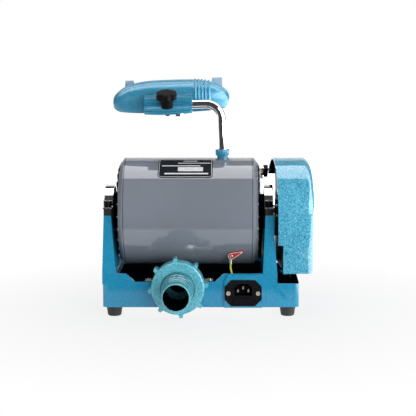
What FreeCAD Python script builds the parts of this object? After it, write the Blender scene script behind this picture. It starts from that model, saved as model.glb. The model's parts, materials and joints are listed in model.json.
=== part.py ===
import FreeCAD, Part
import math
import os
from types import SimpleNamespace

import Sketcher

# A dental polishing lathe seen from its rear: an enclosed motor lies across a cast base with
# two cradle arms, drives one wheel inside a guard at its right end, and carries a swivelling
# task lamp. Millimetres, +Z up, -Y is the rear side with the mains inlet and the suction hose
# connector, +X is the wheel end.

SIZES = {
    # Whole machine: the frame's origin under the middle of its outline
    "centre_x": 27.9,
    "centre_y": -32.6,
    # Base casting
    "base_left": 116.0,
    "base_right": 151.0,
    "base_rear": 78.0,
    "base_front": 88.0,
    "base_corner": 7.0,
    "base_wall": 4.0,
    "deck_height": 32.5,
    "lip_rise": 2.5,
    "bump_rise": 13.5,
    "bump_left_width": 22.0,
    "bump_right_width": 57.0,
    "bump_slope": 12.0,
    "post_size": 24.0,
    "axis_height": 122.0,
    "arm_offset": 110.75,
    "arm_top_thickness": 10.0,
    "arm_foot_inside": 4.0,
    "arm_foot_outside": 5.5,
    "arm_half_depth": 52.0,
    "arm_slope_inset": 0.6,
    "guard_boss_height": 28.0,
    "guard_boss_width": 12.0,
    "dust_slot_length": 60.0,
    "dust_slot_width": 15.0,
    "plate_thickness": 1.5,
    "seat_clearance": 0.3,
    "fit_clearance": 0.05,
    # Feet
    "foot_height": 14.0,
    "foot_top_radius": 11.2,
    "foot_bottom_radius": 9.4,
    "foot_rounding": 2.5,
    "foot_inset": 15.0,
    "foot_recess_radius": 5.0,
    "foot_recess_depth": 5.0,
    "foot_screw_radius": 2.4,
    "foot_screw_head_radius": 4.2,
    "foot_screw_head_height": 3.0,
    "foot_screw_reach": 10.0,
    # Motor shell and end bells
    "shell_radius": 75.0,
    "shell_length": 175.5,
    "shell_wall": 2.5,
    "bell_rim": 2.0,
    "bell_depth": 8.0,
    "bell_shoulder_radius": 62.0,
    "bell_wall": 3.0,
    "bell_spigot": 6.0,
    "hub_radius": 24.0,
    "hub_reach": 29.5,
    "hub_mouth_radius": 10.5,
    "rib_rise": 2.6,
    "rib_thickness": 2.4,
    "rib_inner_radius": 30.0,
    "rib_count": 24,
    "window_count": 12,
    "window_width": 7.4,
    "window_inner_radius": 44.0,
    "window_outer_radius": 64.0,
    "bolt_circle": 67.0,
    "bolt_radius": 2.0,
    "bolt_head_radius": 3.6,
    "bolt_head_height": 2.8,
    "bolt_angle": 22.5,
    # Stator, rotor and bearings
    "stator_bore": 40.0,
    "stator_length": 74.0,
    "slot_count": 24,
    "slot_depth": 17.0,
    "slot_width": 5.0,
    "winding_inner": 44.0,
    "winding_outer": 60.0,
    "winding_length": 24.0,
    "air_gap": 0.5,
    "end_ring_length": 8.0,
    "end_ring_radius": 34.0,
    "shaft_radius": 12.5,
    "journal_radius": 8.5,
    "arbor_radius": 7.9,
    "bearing_radius": 20.0,
    "bearing_width": 12.0,
    "bearing_inset": 2.5,
    "race_wall": 3.6,
    "shield_recess": 0.6,
    # Resilient mounts
    "ring_radius": 35.0,
    "ring_width": 12.0,
    "ring_groove": 2.0,
    "strap_thickness": 2.0,
    "strap_width": 12.0,
    "pad_height": 8.7,
    "pad_length": 14.5,
    "strap_screw_radius": 3.4,
    "strap_head_radius": 5.6,
    "strap_head_height": 9.0,
    "strap_screw_depth": 11.0,
    # Wheel and arbor
    "wheel_centre": 142.5,
    "wheel_radius": 61.0,
    "wheel_width": 20.0,
    "wheel_bush_radius": 12.0,
    "flange_radius": 25.0,
    "flange_thickness": 4.0,
    "flange_relief": 1.2,
    "arbor_nut_width": 21.0,
    "arbor_nut_height": 6.0,
    "arbor_end": 1.5,
    # Guard
    "guard_offset": 117.0,
    "guard_yaw": 4.3,
    "guard_radius": 75.0,
    "guard_width": 51.0,
    "guard_wall": 3.0,
    "guard_corner": 11.0,
    "guard_front_angle": 49.0,
    "guard_drop": 77.0,
    "guard_notch_drop": 38.0,
    "guard_notch": 7.0,
    "guard_side_drop": 32.0,
    "guard_side_foot": 26.0,
    "back_plate_inset": 5.0,
    "back_plate_thickness": 2.0,
    "back_plate_front": 15.0,
    "back_plate_drop": 70.0,
    "bracket_height": 50.0,
    "bracket_outset": 2.8,
    "guard_screw_radius": 2.5,
    "guard_screw_head_radius": 4.4,
    "guard_screw_head_height": 3.2,
    "guard_screw_reach": 12.0,
    "guard_tap_depth": 5.0,
    # Eye shield on the guard's front edge
    "shield_bar_radius": 3.0,
    "shield_bar_overhang": 13.0,
    "shield_lug_radius": 5.4,
    "shield_lug_width": 6.0,
    "shield_lug_inset": 4.0,
    "shield_lean": 28.0,
    "shield_length": 71.2,
    "shield_corner": 4.0,
    "shield_gap": 0.4,
    "shield_pane": 2.5,
    "shield_clip_width": 6.0,
    "shield_clip_length": 15.0,
    "shield_clip_depth": 9.0,
    "shield_nut_length": 4.7,
    "shield_nut_radius": 5.8,
    "shield_nut_drop": 9.5,
    # Suction connector
    "duct_x": -12.5,
    "duct_height": 30.0,
    "duct_radius": 24.0,
    "duct_wall": 3.0,
    "duct_depth": 40.0,
    "duct_reach": 15.0,
    "duct_thread_radius": 28.3,
    "duct_thread_start": 2.0,
    "saddle_width": 92.0,
    "saddle_offset": 0.5,
    "saddle_depth": 16.0,
    "clamp_strap_thickness": 1.6,
    "clamp_strap_width": 11.0,
    "clamp_screw_inset": 4.5,
    "clamp_screw_reach": 8.0,
    "nut_radius": 35.8,
    "nut_length": 23.0,
    "nut_face": 3.6,
    "nut_rounding": 3.0,
    "nut_lug_height": 4.8,
    "nut_lug_base": 7.0,
    "nut_lug_tip": 4.0,
    "nut_lug_count": 8,
    "nut_turn": 6.0,
    "nozzle_flange": 4.6,
    "nozzle_root_radius": 22.8,
    "nozzle_root_length": 4.0,
    "nozzle_barb_radius": 21.0,
    "nozzle_tip_radius": 18.2,
    "nozzle_barb_length": 8.5,
    "nozzle_barb_step": 1.5,
    "nozzle_barb_taper": 0.65,
    "nozzle_tip_length": 14.0,
    "nozzle_bore": 16.8,
    # Mains inlet with its fuse drawer
    "inlet_x": 75.0,
    "inlet_height": 20.5,
    "boss_width": 51.0,
    "boss_height": 45.5,
    "boss_proud": 4.0,
    "boss_chamfer_x": 4.8,
    "boss_chamfer_z": 10.5,
    "inlet_width": 50.0,
    "inlet_tall": 35.5,
    "inlet_flange": 2.6,
    "inlet_corner": 9.0,
    "inlet_body_width": 30.0,
    "inlet_body_tall": 29.0,
    "inlet_body_depth": 20.0,
    "inlet_hump_wall": 2.5,
    "socket_rise": 4.6,
    "socket_width": 24.0,
    "socket_tall": 16.5,
    "socket_depth": 17.0,
    "socket_corner": 5.0,
    "pin_width": 4.0,
    "pin_thickness": 2.0,
    "pin_reach": 15.0,
    "pin_pitch": 7.0,
    "pin_offset": 2.0,
    "drawer_drop": 10.8,
    "drawer_width": 25.0,
    "drawer_tall": 8.0,
    "drawer_depth": 18.0,
    "drawer_lip": 1.2,
    "fuse_radius": 2.6,
    "fuse_length": 16.0,
    "inlet_screw_pitch": 40.0,
    "inlet_screw_reach": 8.0,
    "pan_screw_radius": 1.5,
    "pan_head_radius": 2.9,
    "pan_head_height": 1.8,
    # Switch on the front
    "switch_x": -62.0,
    "switch_height": 17.5,
    "switch_width": 30.0,
    "switch_tall": 22.0,
    "switch_flange": 2.0,
    "switch_corner": 2.0,
    "switch_body_width": 26.5,
    "switch_body_tall": 19.0,
    "switch_body_depth": 22.0,
    "rocker_radius": 14.0,
    "rocker_width": 15.0,
    "rocker_rise": 3.2,
    "rocker_pin_radius": 1.5,
    "rocker_gap": 0.5,
    # Electrical pieces in the base
    "capacitor_radius": 11.5,
    "capacitor_length": 62.0,
    "capacitor_x": 46.0,
    "capacitor_y": 30.0,
    "capacitor_rim": 1.2,
    "clip_width": 14.0,
    "clip_thickness": 1.2,
    "terminal_length": 46.0,
    "terminal_depth": 18.0,
    "terminal_tall": 14.0,
    "terminal_well_radius": 2.4,
    "terminal_well_depth": 6.0,
    "terminal_x": -20.0,
    "terminal_y": 40.0,
    # Earth connection on the shell
    "earth_x": 58.0,
    "earth_angle": 46.0,
    "earth_screw_radius": 2.0,
    "earth_head_radius": 3.8,
    "earth_head_height": 2.6,
    "earth_lug_radius": 4.6,
    "earth_lug_thickness": 1.0,
    "earth_tongue": 6.0,
    "earth_barrel_radius": 2.1,
    "earth_barrel_length": 8.0,
    "tag_radius": 5.2,
    "tag_length": 25.0,
    "tag_thickness": 0.8,
    "tag_tip_radius": 2.6,
    "tag_turn": 14.0,
    "wire_radius": 1.25,
    "wire_hole_radius": 2.0,
    "wire_hole_x": 3.0,
    "wire_hole_y": 56.5,
    "wire_drop": 7.0,
    "wire_tail": 8.0,
    # Lamp
    "post_x": 47.0,
    "lamp_lean": 2.0,
    "socket_radius": 10.0,
    "socket_height": 12.0,
    "socket_neck_radius": 8.0,
    "socket_neck_height": 3.5,
    "socket_sink": 6.0,
    "tube_radius": 6.0,
    "tube_wall": 1.2,
    "tube_run": 76.0,
    "tube_bend": 22.0,
    "tube_foot": 4.0,
    "tube_end_gap": 4.0,
    "lamp_tilt": 20.0,
    "clamp_left": -59.0,
    "clamp_right": 7.4,
    "clamp_back": 9.0,
    "clamp_front": 9.0,
    "clamp_top": 13.0,
    "clamp_flange": 24.0,
    "clamp_flange_bulge": 5.0,
    "clamp_flange_thickness": 4.2,
    "clamp_split": 0.6,
    "clamp_groove": 1.0,
    "knob_x": -27.0,
    "knob_y": 18.0,
    "knob_radius": 15.0,
    "knob_head": 10.0,
    "knob_neck_radius": 8.9,
    "knob_neck": 13.0,
    "knob_scallop": 5.0,
    "knob_lobes": 6,
    "knob_stem_radius": 3.0,
    "stem_reach": 3.0,
    "tie_nut_x": -13.0,
    "tie_nut_width": 12.0,
    "tie_nut_height": 5.5,
    "hood_left": -106.0,
    "hood_right": 59.0,
    "hood_rear": 12.0,
    "hood_front": 66.0,
    "hood_crown_y": 38.0,
    "hood_crown": 20.0,
    "hood_rim": 16.0,
    "hood_wall": 2.5,
    "hood_rib_rise": 1.1,
    "hood_rib_width": 2.6,
    "hood_rib_pitch": 4.8,
    "hood_rib_x": 10.0,
    "hood_rib_count": 5,
    "hood_boss_width": 40.0,
    "hood_boss_tall": 12.0,
    "ear_width": 16.5,
    "ear_left": -84.0,
    "ear_right": 41.0,
    "ear_rise": 28.5,
    "ear_taper": 2.5,
    "visor_thickness": 1.6,
    "visor_tall": 9.0,
    "visor_gap": 0.5,
    "bulb_radius": 6.0,
    "bulb_length": 104.0,
    "bulb_pitch": 15.0,
    "bulb_drop": 4.0,
    "bulb_base_length": 23.0,
    "bulb_base_tall": 15.0,
    "bulb_base_depth": 25.0,
    "bulb_base_corner": 3.0,
    "bulb_stem_length": 9.0,
    "bulb_stem_width": 8.0,
    "bulb_stem_gap": 3.2,
    "bulb_x": 14.0,
}


class Size:
    """A length that keeps both its number and the sheet expression that it is bound by."""

    def __init__(self, value, text):
        self.value = value
        self.text = text

    def __str__(self):
        return self.text

    def __add__(self, other):
        other = as_size(other)
        return Size(self.value + other.value, f"({self.text} + {other.text})")

    def __radd__(self, other):
        return as_size(other) + self

    def __sub__(self, other):
        other = as_size(other)
        return Size(self.value - other.value, f"({self.text} - {other.text})")

    def __rsub__(self, other):
        return as_size(other) - self

    def __mul__(self, other):
        other = as_size(other)
        return Size(self.value * other.value, f"({self.text} * {other.text})")

    def __rmul__(self, other):
        return as_size(other) * self

    def __truediv__(self, other):
        other = as_size(other)
        return Size(self.value / other.value, f"({self.text} / {other.text})")

    def __rtruediv__(self, other):
        return as_size(other) / self

    def __neg__(self):
        return Size(-self.value, f"(-{self.text})")


def as_size(number):
    """Wrap a plain number as a size."""
    if isinstance(number, Size):
        return number
    return Size(float(number), f"({number})")


def sine(angle):
    angle = as_size(angle)
    return Size(math.sin(math.radians(angle.value)), f"sin({angle.text})")


def cosine(angle):
    angle = as_size(angle)
    return Size(math.cos(math.radians(angle.value)), f"cos({angle.text})")


def tangent(angle):
    return sine(angle) / cosine(angle)


def root(number):
    number = as_size(number)
    return Size(math.sqrt(number.value), f"sqrt({number.text})")


doc = FreeCAD.newDocument("DentalLathe")
sheet = doc.addObject("Spreadsheet::Sheet", "Sizes")
for row, (alias, number) in enumerate(SIZES.items(), 1):
    sheet.set(f"A{row}", alias)
    sheet.set(f"B{row}", str(number))
    sheet.setAlias(f"B{row}", alias)
doc.recompute()
S = SimpleNamespace(**{alias: Size(number, f"Sizes.{alias}") for alias, number in SIZES.items()})
sub_parts = []


class Frame:
    """A place on the machine, kept as a placement expression that others build on."""

    def __init__(self, text):
        self.text = text

    def at(self, x=0, y=0, z=0, yaw=0, pitch=0, roll=0):
        step = f"placement(vector({x}; {y}; {z}); rotation({yaw}; {pitch}; {roll}))"
        return Frame(f"{self.text} * {step}" if self.text else step)


# Frames: the base stands on the feet, the motor's axis runs along X
BASE = Frame("").at(x=-S.centre_x, y=-S.centre_y, z=S.foot_height)
MOTOR = BASE.at(z=S.axis_height)
RIGHT_END = MOTOR.at(x=S.shell_length / 2)
LEFT_END = MOTOR.at(x=-S.shell_length / 2, yaw=180)
GUARD = MOTOR.at(x=S.guard_offset, yaw=S.guard_yaw)
SUCTION = BASE.at(x=S.duct_x, y=-S.base_rear, z=S.duct_height, roll=90)
LAMP = MOTOR.at(x=S.post_x, z=S.shell_radius, pitch=-S.lamp_lean)
HEAD = LAMP.at(x=-S.post_x, z=S.tube_run, roll=S.lamp_tilt)


def bind(thing, **sizes):
    """Bind properties of an object to sizes."""
    for name, number in sizes.items():
        thing.setExpression(name, str(as_size(number)))
    return thing


def finish(thing, label, frame):
    """Name a sub-part, set it in its frame and list it for export."""
    thing.Label = label
    thing.setExpression("Placement", frame.text)
    sub_parts.append(thing)
    return thing


def new_body(label, frame):
    body = doc.addObject("PartDesign::Body", label)
    return finish(body, label, frame)


def origin_feature(body, role):
    for feature in body.Origin.OriginFeatures:
        if feature.Role == role:
            return feature
    raise ValueError(role)


def new_sketch(body, plane, offset=0):
    """Lay a sketch on one of the body's own planes, moved along the plane's normal."""
    sketch = body.newObject("Sketcher::SketchObject", body.Name + "_sketch")
    sketch.AttachmentSupport = [(origin_feature(body, plane + "_Plane"), "")]
    sketch.MapMode = "FlatFace"
    sketch.setExpression("AttachmentOffset.Base.z", str(as_size(offset)))
    return sketch


def pin_point(sketch, geometry, position, x, y):
    """Fix a point of a sketch by its two distances from the sketch's origin."""
    for kind, number in (("DistanceX", as_size(x)), ("DistanceY", as_size(y))):
        fixed = Sketcher.Constraint(kind, -1, 1, geometry, position, number.value)
        index = sketch.addConstraint(fixed)
        name = f"k{index}"
        sketch.renameConstraint(index, name)
        sketch.setExpression("Constraints." + name, number.text)


def set_radius(sketch, geometry, radius):
    radius = as_size(radius)
    index = sketch.addConstraint(Sketcher.Constraint("Radius", geometry, radius.value))
    name = f"k{index}"
    sketch.renameConstraint(index, name)
    sketch.setExpression("Constraints." + name, radius.text)


def arc_between(start, end, radius, side):
    """The minor arc from start to end; side +1 bulges to the right of the way, -1 to the left."""
    chord = end - start
    half = chord.Length / 2
    rise = math.sqrt(max(radius * radius - half * half, 0.0))
    normal = FreeCAD.Vector(-chord.y, chord.x, 0).normalize() * side
    centre = (start + end) / 2 + normal * rise
    first = math.atan2(start.y - centre.y, start.x - centre.x)
    last = math.atan2(end.y - centre.y, end.x - centre.x)
    if side < 0:
        first, last = last, first
    circle = Part.Circle(centre, FreeCAD.Vector(0, 0, 1), radius)
    return Part.ArcOfCircle(circle, first, last)


def outline(sketch, corners, closed=True):
    """Draw a chain of lines and arcs. A corner is (x, y), or (x, y, radius, side) where an
    arc leads to the next corner."""
    points = [FreeCAD.Vector(as_size(c[0]).value, as_size(c[1]).value, 0) for c in corners]
    count = len(corners) if closed else len(corners) - 1
    ends = []
    for index in range(count):
        corner = corners[index]
        start = points[index]
        end = points[(index + 1) % len(points)]
        if len(corner) == 4:
            arc = arc_between(start, end, as_size(corner[2]).value, corner[3])
            geometry = sketch.addGeometry(arc, False)
            first, last = (1, 2) if corner[3] > 0 else (2, 1)
            pin_point(sketch, geometry, first, corner[0], corner[1])
            set_radius(sketch, geometry, corner[2])
        else:
            geometry = sketch.addGeometry(Part.LineSegment(start, end), False)
            first, last = 1, 2
            pin_point(sketch, geometry, first, corner[0], corner[1])
        ends.append((geometry, first, last))
    for index in range(count - 1 + int(closed)):
        here = ends[index]
        following = ends[(index + 1) % len(ends)]
        joint = Sketcher.Constraint("Coincident", here[0], here[2], following[0], following[1])
        sketch.addConstraint(joint)
    if not closed:
        last_corner = corners[-1]
        pin_point(sketch, ends[-1][0], ends[-1][2], last_corner[0], last_corner[1])
    return sketch


def circle(sketch, x, y, radius):
    x, y, radius = as_size(x), as_size(y), as_size(radius)
    shape = Part.Circle(FreeCAD.Vector(x.value, y.value, 0), FreeCAD.Vector(0, 0, 1), radius.value)
    geometry = sketch.addGeometry(shape, False)
    pin_point(sketch, geometry, 3, x, y)
    set_radius(sketch, geometry, radius)
    return sketch


def rectangle(x0, x1, y0, y1):
    """The four corners of an upright rectangle."""
    return [(x0, y0), (x1, y0), (x1, y1), (x0, y1)]


def rounded(x0, x1, y0, y1, corner):
    """The corners of a rectangle with round corners."""
    return [
        (x0 + corner, y0), (x1 - corner, y0, corner, 1),
        (x1, y0 + corner), (x1, y1 - corner, corner, 1),
        (x1 - corner, y1), (x0 + corner, y1, corner, 1),
        (x0, y1 - corner), (x0, y0 + corner, corner, 1),
    ]


def pad(body, sketch, length, backwards=False, middle=False):
    feature = body.newObject("PartDesign::Pad", body.Name + "_pad")
    feature.Profile = sketch
    feature.Reversed = backwards
    feature.SideType = "Symmetric" if middle else "One side"
    return bind(feature, Length=length)


def pocket(body, sketch, length, backwards=False, middle=False):
    feature = body.newObject("PartDesign::Pocket", body.Name + "_pocket")
    feature.Profile = sketch
    feature.Reversed = backwards
    feature.SideType = "Symmetric" if middle else "One side"
    cuts.append(feature)
    return bind(feature, Length=length)


def revolve(body, sketch, axis="H_Axis", angle=360):
    feature = body.newObject("PartDesign::Revolution", body.Name + "_turned")
    feature.Profile = sketch
    feature.ReferenceAxis = (sketch, [axis])
    return bind(feature, Angle=angle)


def loft(body, sketches, ruled=True, cut=False):
    kind = "PartDesign::SubtractiveLoft" if cut else "PartDesign::AdditiveLoft"
    feature = body.newObject(kind, body.Name + "_loft")
    feature.Profile = sketches[0]
    feature.Sections = sketches[1:]
    feature.Ruled = ruled
    if cut:
        cuts.append(feature)
    return feature


def around(body, features, axis, count, angle=360):
    """Repeat features about one of the body's axes."""
    pattern = body.newObject("PartDesign::PolarPattern", body.Name + "_round")
    pattern.Originals = features
    pattern.Axis = (origin_feature(body, axis + "_Axis"), [""])
    bind(pattern, Angle=angle, Occurrences=count)
    body.Tip = pattern
    return pattern


def along(body, features, axis, pitch, count):
    """Repeat features in a row along one of the body's axes."""
    pattern = body.newObject("PartDesign::LinearPattern", body.Name + "_row")
    pattern.Originals = features
    pattern.Direction = (origin_feature(body, axis + "_Axis"), [""])
    bind(pattern, Length=pitch * (count - 1), Occurrences=count)
    body.Tip = pattern
    return pattern


cuts = []


def turned_piece(label, frame, corners, axis="H_Axis"):
    """A turned solid for use in a group: its half outline about X ("H_Axis") or Z ("V_Axis")."""
    body = doc.addObject("PartDesign::Body", label)
    sketch = outline(new_sketch(body, "XZ"), corners)
    revolve(body, sketch, axis)
    body.setExpression("Placement", frame.text)
    return body


def turned(label, frame, corners, axis="H_Axis"):
    """A turned sub-part."""
    return finish(turned_piece(label, frame, corners, axis), label, frame)


def cylinder(radius, length, **place):
    """A plain cylinder in its own place, used inside groups and booleans."""
    thing = doc.addObject("Part::Cylinder", "cylinder")
    bind(thing, Radius=radius, Height=length)
    thing.setExpression("Placement", Frame("").at(**place).text)
    return thing


def prism(width, length, **place):
    """A hexagonal prism given across its flats."""
    thing = doc.addObject("Part::Prism", "prism")
    thing.Polygon = 6
    bind(thing, Circumradius=as_size(width) / root(3), Height=length)
    thing.setExpression("Placement", Frame("").at(**place).text)
    return thing


def box(length, width, height, **place):
    thing = doc.addObject("Part::Box", "box")
    bind(thing, Length=length, Width=width, Height=height)
    thing.setExpression("Placement", Frame("").at(**place).text)
    return thing


def fuse(*things):
    feature = doc.addObject("Part::MultiFuse", "fused")
    feature.Shapes = list(things)
    feature.Refine = True
    return feature


def cut_from(base, tool):
    feature = doc.addObject("Part::Cut", "cut")
    feature.Base = base
    feature.Tool = tool
    return feature


def turn(x, y, angle):
    """A point of a sketch turned about the sketch's origin."""
    return (x * cosine(angle) - y * sine(angle), x * sine(angle) + y * cosine(angle))


def screw(head_radius, head_height, radius, reach, place, drive="socket"):
    """A screw standing on z = 0 with its shank below; a socket or a cross slot on top."""
    head = cylinder(head_radius, head_height)
    shank = cylinder(radius, reach, z=-reach)
    solid = fuse(head, shank)
    depth = head_height * 0.55
    if drive == "socket":
        tool = prism(as_size(head_radius), depth, z=head_height - depth)
    else:
        length = head_radius * 1.5
        width = head_radius * 0.32
        one = box(length, width, depth, x=-length / 2, y=-width / 2, z=head_height - depth)
        other = box(width, length, depth, x=-width / 2, y=-length / 2, z=head_height - depth)
        tool = fuse(one, other)
    solid = cut_from(solid, tool)
    solid.setExpression("Placement", Frame("").at(**place).text)
    return solid


def group(label, frame, things):
    """Like pieces that share one node, each its own solid."""
    feature = doc.addObject("Part::Compound", label)
    feature.Links = things
    return finish(feature, label, frame)


def shared_distances():
    """Distances that several sub-parts share, worked out from the driving sizes."""
    D = SimpleNamespace()
    D.bump_height = S.deck_height + S.bump_rise
    D.lip_height = S.deck_height + S.lip_rise
    D.arm_inside = S.arm_offset - S.arm_top_thickness / 2
    D.arm_outside = S.arm_offset + S.arm_top_thickness / 2
    D.saddle_radius = S.ring_radius + S.seat_clearance
    D.pad_top = S.axis_height + S.pad_height
    D.strap_screw_y = S.arm_half_depth - S.pad_length / 2 - S.arm_slope_inset
    D.boss_outside = D.arm_outside + S.bracket_outset
    D.bracket_y = -S.arm_half_depth + S.arm_slope_inset + S.guard_boss_width / 2
    D.plate_x = S.guard_offset + S.back_plate_inset / cosine(S.guard_yaw)
    D.guard_screw_drops = [-S.guard_boss_height * 2 / 3, -S.guard_boss_height / 3]
    D.clamp_screw_x = S.saddle_width / 2 - S.clamp_screw_inset
    D.foot_x_left = -S.base_left + S.foot_inset
    D.foot_x_right = S.base_right - S.foot_inset
    D.foot_y_rear = -S.base_rear + S.foot_inset
    D.foot_y_front = S.base_front - S.foot_inset
    D.shell_bore = S.shell_radius - S.shell_wall
    D.bearing_start = S.hub_reach - S.bearing_inset - S.bearing_width
    D.cavity_height = S.deck_height - S.base_wall
    D.inlet_face = S.base_rear + S.boss_proud
    D.wheel_start = S.wheel_centre - S.wheel_width / 2
    D.wheel_stop = S.wheel_centre + S.wheel_width / 2
    D.hinge_radius = S.guard_radius + S.shield_bar_radius + S.seat_clearance
    D.hinge_angle = S.guard_front_angle - 2
    D.nut_start = S.duct_thread_start
    D.nut_stop = S.duct_thread_start + S.nut_length
    return D


D = shared_distances()
FEET = [
    (D.foot_x_left, D.foot_y_rear), (D.foot_x_right, D.foot_y_rear),
    (D.foot_x_left, D.foot_y_front), (D.foot_x_right, D.foot_y_front),
]


def base_casting():
    """The hollow base with its cradle arms, duct saddle, inlet boss and dust slot."""
    body = new_body("base_casting", BASE)
    foot = rounded(-S.base_left, S.base_right, -S.base_rear, S.base_front, S.base_corner)
    pad(body, outline(new_sketch(body, "XY"), foot), S.deck_height)
    # Lips along the rear and the front edge, low between two bumps
    left_end = -S.arm_offset
    right_end = S.arm_offset
    left_bump = -D.arm_inside + S.bump_left_width
    right_bump = D.arm_inside - S.bump_right_width
    lip = [
        (left_end, S.deck_height - 1), (right_end, S.deck_height - 1),
        (right_end, D.bump_height), (right_bump, D.bump_height),
        (right_bump - S.bump_slope, D.lip_height), (left_bump + S.bump_slope, D.lip_height),
        (left_bump, D.bump_height), (left_end, D.bump_height),
    ]
    rear = outline(new_sketch(body, "XZ", S.base_rear - S.base_wall), lip)
    pad(body, rear, S.base_wall)
    front = outline(new_sketch(body, "XZ", -S.base_front), lip)
    pad(body, front, S.base_wall)
    # The land that the suction duct lies in
    middle = S.duct_x + S.saddle_offset
    land = rectangle(
        middle - S.saddle_width / 2, middle + S.saddle_width / 2, S.deck_height - 1, D.lip_height
    )
    saddle = outline(new_sketch(body, "XZ", S.base_rear - S.saddle_depth), land)
    pad(body, saddle, S.saddle_depth)
    # Boss for the mains inlet, proud of the rear wall
    half = S.boss_width / 2
    boss = [
        (S.inlet_x - half, 0), (S.inlet_x + half, 0),
        (S.inlet_x + half, S.boss_height - S.boss_chamfer_z),
        (S.inlet_x + half - S.boss_chamfer_x, S.boss_height),
        (S.inlet_x - half + S.boss_chamfer_x, S.boss_height),
        (S.inlet_x - half, S.boss_height - S.boss_chamfer_z),
    ]
    inlet = outline(new_sketch(body, "XZ", S.base_rear - S.base_wall), boss)
    pad(body, inlet, S.boss_proud + S.base_wall)
    # Hump on the deck over the inlet's body
    hump_half = S.inlet_body_width / 2 + S.seat_clearance + S.inlet_hump_wall
    hump_top = S.inlet_height + S.inlet_body_tall / 2 + S.seat_clearance + S.inlet_hump_wall
    hump_end = D.inlet_face - S.inlet_body_depth - S.seat_clearance - S.inlet_hump_wall
    hump = rectangle(S.inlet_x - hump_half, S.inlet_x + hump_half, S.deck_height - 1, hump_top)
    pad(body, outline(new_sketch(body, "XZ", hump_end), hump), S.base_rear - 1 - hump_end)
    # Cradle arms, thick at the foot and slim at the shoulder
    for side in (-1, 1):
        low_inside = D.arm_inside - (S.arm_foot_inside + (0 if side > 0 else 4))
        low_outside = D.arm_outside + (S.arm_foot_outside if side > 0 else 0.2)
        low = rectangle(side * low_inside, side * low_outside, -S.base_rear, S.base_rear)
        high = rectangle(
            side * D.arm_inside, side * D.arm_outside, -S.arm_half_depth, S.arm_half_depth
        )
        if side < 0:
            low = [low[1], low[0], low[3], low[2]]
            high = [high[1], high[0], high[3], high[2]]
        pad(body, outline(new_sketch(body, "XY", S.deck_height - 1), low), S.bump_rise + 1)
        bottom = outline(new_sketch(body, "XY", D.bump_height), low)
        top = outline(new_sketch(body, "XY", S.axis_height), high)
        loft(body, [bottom, top])
    # Flat boss on the right arm for the guard's bracket
    guard_boss = rectangle(
        -S.arm_half_depth + S.arm_slope_inset,
        -S.arm_half_depth + S.arm_slope_inset + S.guard_boss_width,
        S.axis_height - S.guard_boss_height,
        S.axis_height,
    )
    mount = outline(new_sketch(body, "YZ", S.arm_offset), guard_boss)
    pad(body, mount, D.boss_outside - S.arm_offset)
    tapped = new_sketch(body, "YZ", D.boss_outside + 1)
    for drop in D.guard_screw_drops:
        circle(tapped, D.bracket_y - 0.7, S.axis_height + drop, S.guard_screw_radius + 0.6)
    pocket(body, tapped, S.guard_tap_depth + 1)
    # Round saddles for the resilient rings
    saddles = circle(new_sketch(body, "YZ"), 0, S.axis_height, D.saddle_radius)
    pocket(body, saddles, 4 * S.arm_offset, middle=True)
    # Cavity under the deck, with a post in each corner for the feet
    x0 = -S.base_left + S.base_wall
    x1 = S.base_right - S.base_wall
    y0 = -S.base_rear + S.base_wall
    y1 = S.base_front - S.base_wall
    step = S.post_size
    cavity = [
        (x0 + step, y0), (x1 - step, y0), (x1 - step, y0 + step), (x1, y0 + step),
        (x1, y1 - step), (x1 - step, y1 - step), (x1 - step, y1), (x0 + step, y1),
        (x0 + step, y1 - step), (x0, y1 - step), (x0, y0 + step), (x0 + step, y0 + step),
    ]
    pocket(body, outline(new_sketch(body, "XY"), cavity), D.cavity_height, backwards=True)
    # Rebate for the bottom plate
    rebate = outline(new_sketch(body, "XY"), rectangle(x0, x1, y0, y1))
    pocket(body, rebate, S.plate_thickness, backwards=True)
    # Duct hole through the land, the wall and the deck
    hole_sketch = new_sketch(body, "XZ", S.base_rear + 1)
    circle(hole_sketch, S.duct_x, S.duct_height, S.duct_radius + S.seat_clearance)
    pocket(body, hole_sketch, S.duct_depth + S.seat_clearance + 1)
    # Opening for the inlet body
    opening = rectangle(
        S.inlet_x - S.inlet_body_width / 2 - S.seat_clearance,
        S.inlet_x + S.inlet_body_width / 2 + S.seat_clearance,
        S.inlet_height - S.inlet_body_tall / 2 - S.seat_clearance,
        S.inlet_height + S.inlet_body_tall / 2 + S.seat_clearance,
    )
    pocket(body, outline(new_sketch(body, "XZ", D.inlet_face + 1), opening),
           S.inlet_body_depth + S.seat_clearance + 1)
    inlet_holes = new_sketch(body, "XZ", D.inlet_face + 1)
    for x in (-S.inlet_screw_pitch / 2, S.inlet_screw_pitch / 2):
        circle(inlet_holes, S.inlet_x + x, S.inlet_height, S.pan_screw_radius + S.fit_clearance)
    pocket(body, inlet_holes, S.boss_proud + S.base_wall + 2)
    # Opening for the switch in the front wall
    switch = rectangle(
        S.switch_x - S.switch_body_width / 2 - S.seat_clearance,
        S.switch_x + S.switch_body_width / 2 + S.seat_clearance,
        S.switch_height - S.switch_body_tall / 2 - S.seat_clearance,
        S.switch_height + S.switch_body_tall / 2 + S.seat_clearance,
    )
    pocket(body, outline(new_sketch(body, "XZ", -S.base_front - 1), switch),
           S.base_wall + 2, backwards=True)
    # Dust slot in the ledge under the guard and a hole for the earth wire
    slot_x = (D.arm_outside + S.arm_foot_outside + S.base_right) / 2
    slots = new_sketch(body, "XY", S.deck_height + 1)
    outline(slots, rectangle(
        slot_x - S.dust_slot_width / 2, slot_x + S.dust_slot_width / 2,
        -S.dust_slot_length / 2, S.dust_slot_length / 2,
    ))
    circle(slots, S.earth_x + S.wire_hole_x, -S.wire_hole_y, S.wire_hole_radius)
    pocket(body, slots, S.base_wall + 2)
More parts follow.
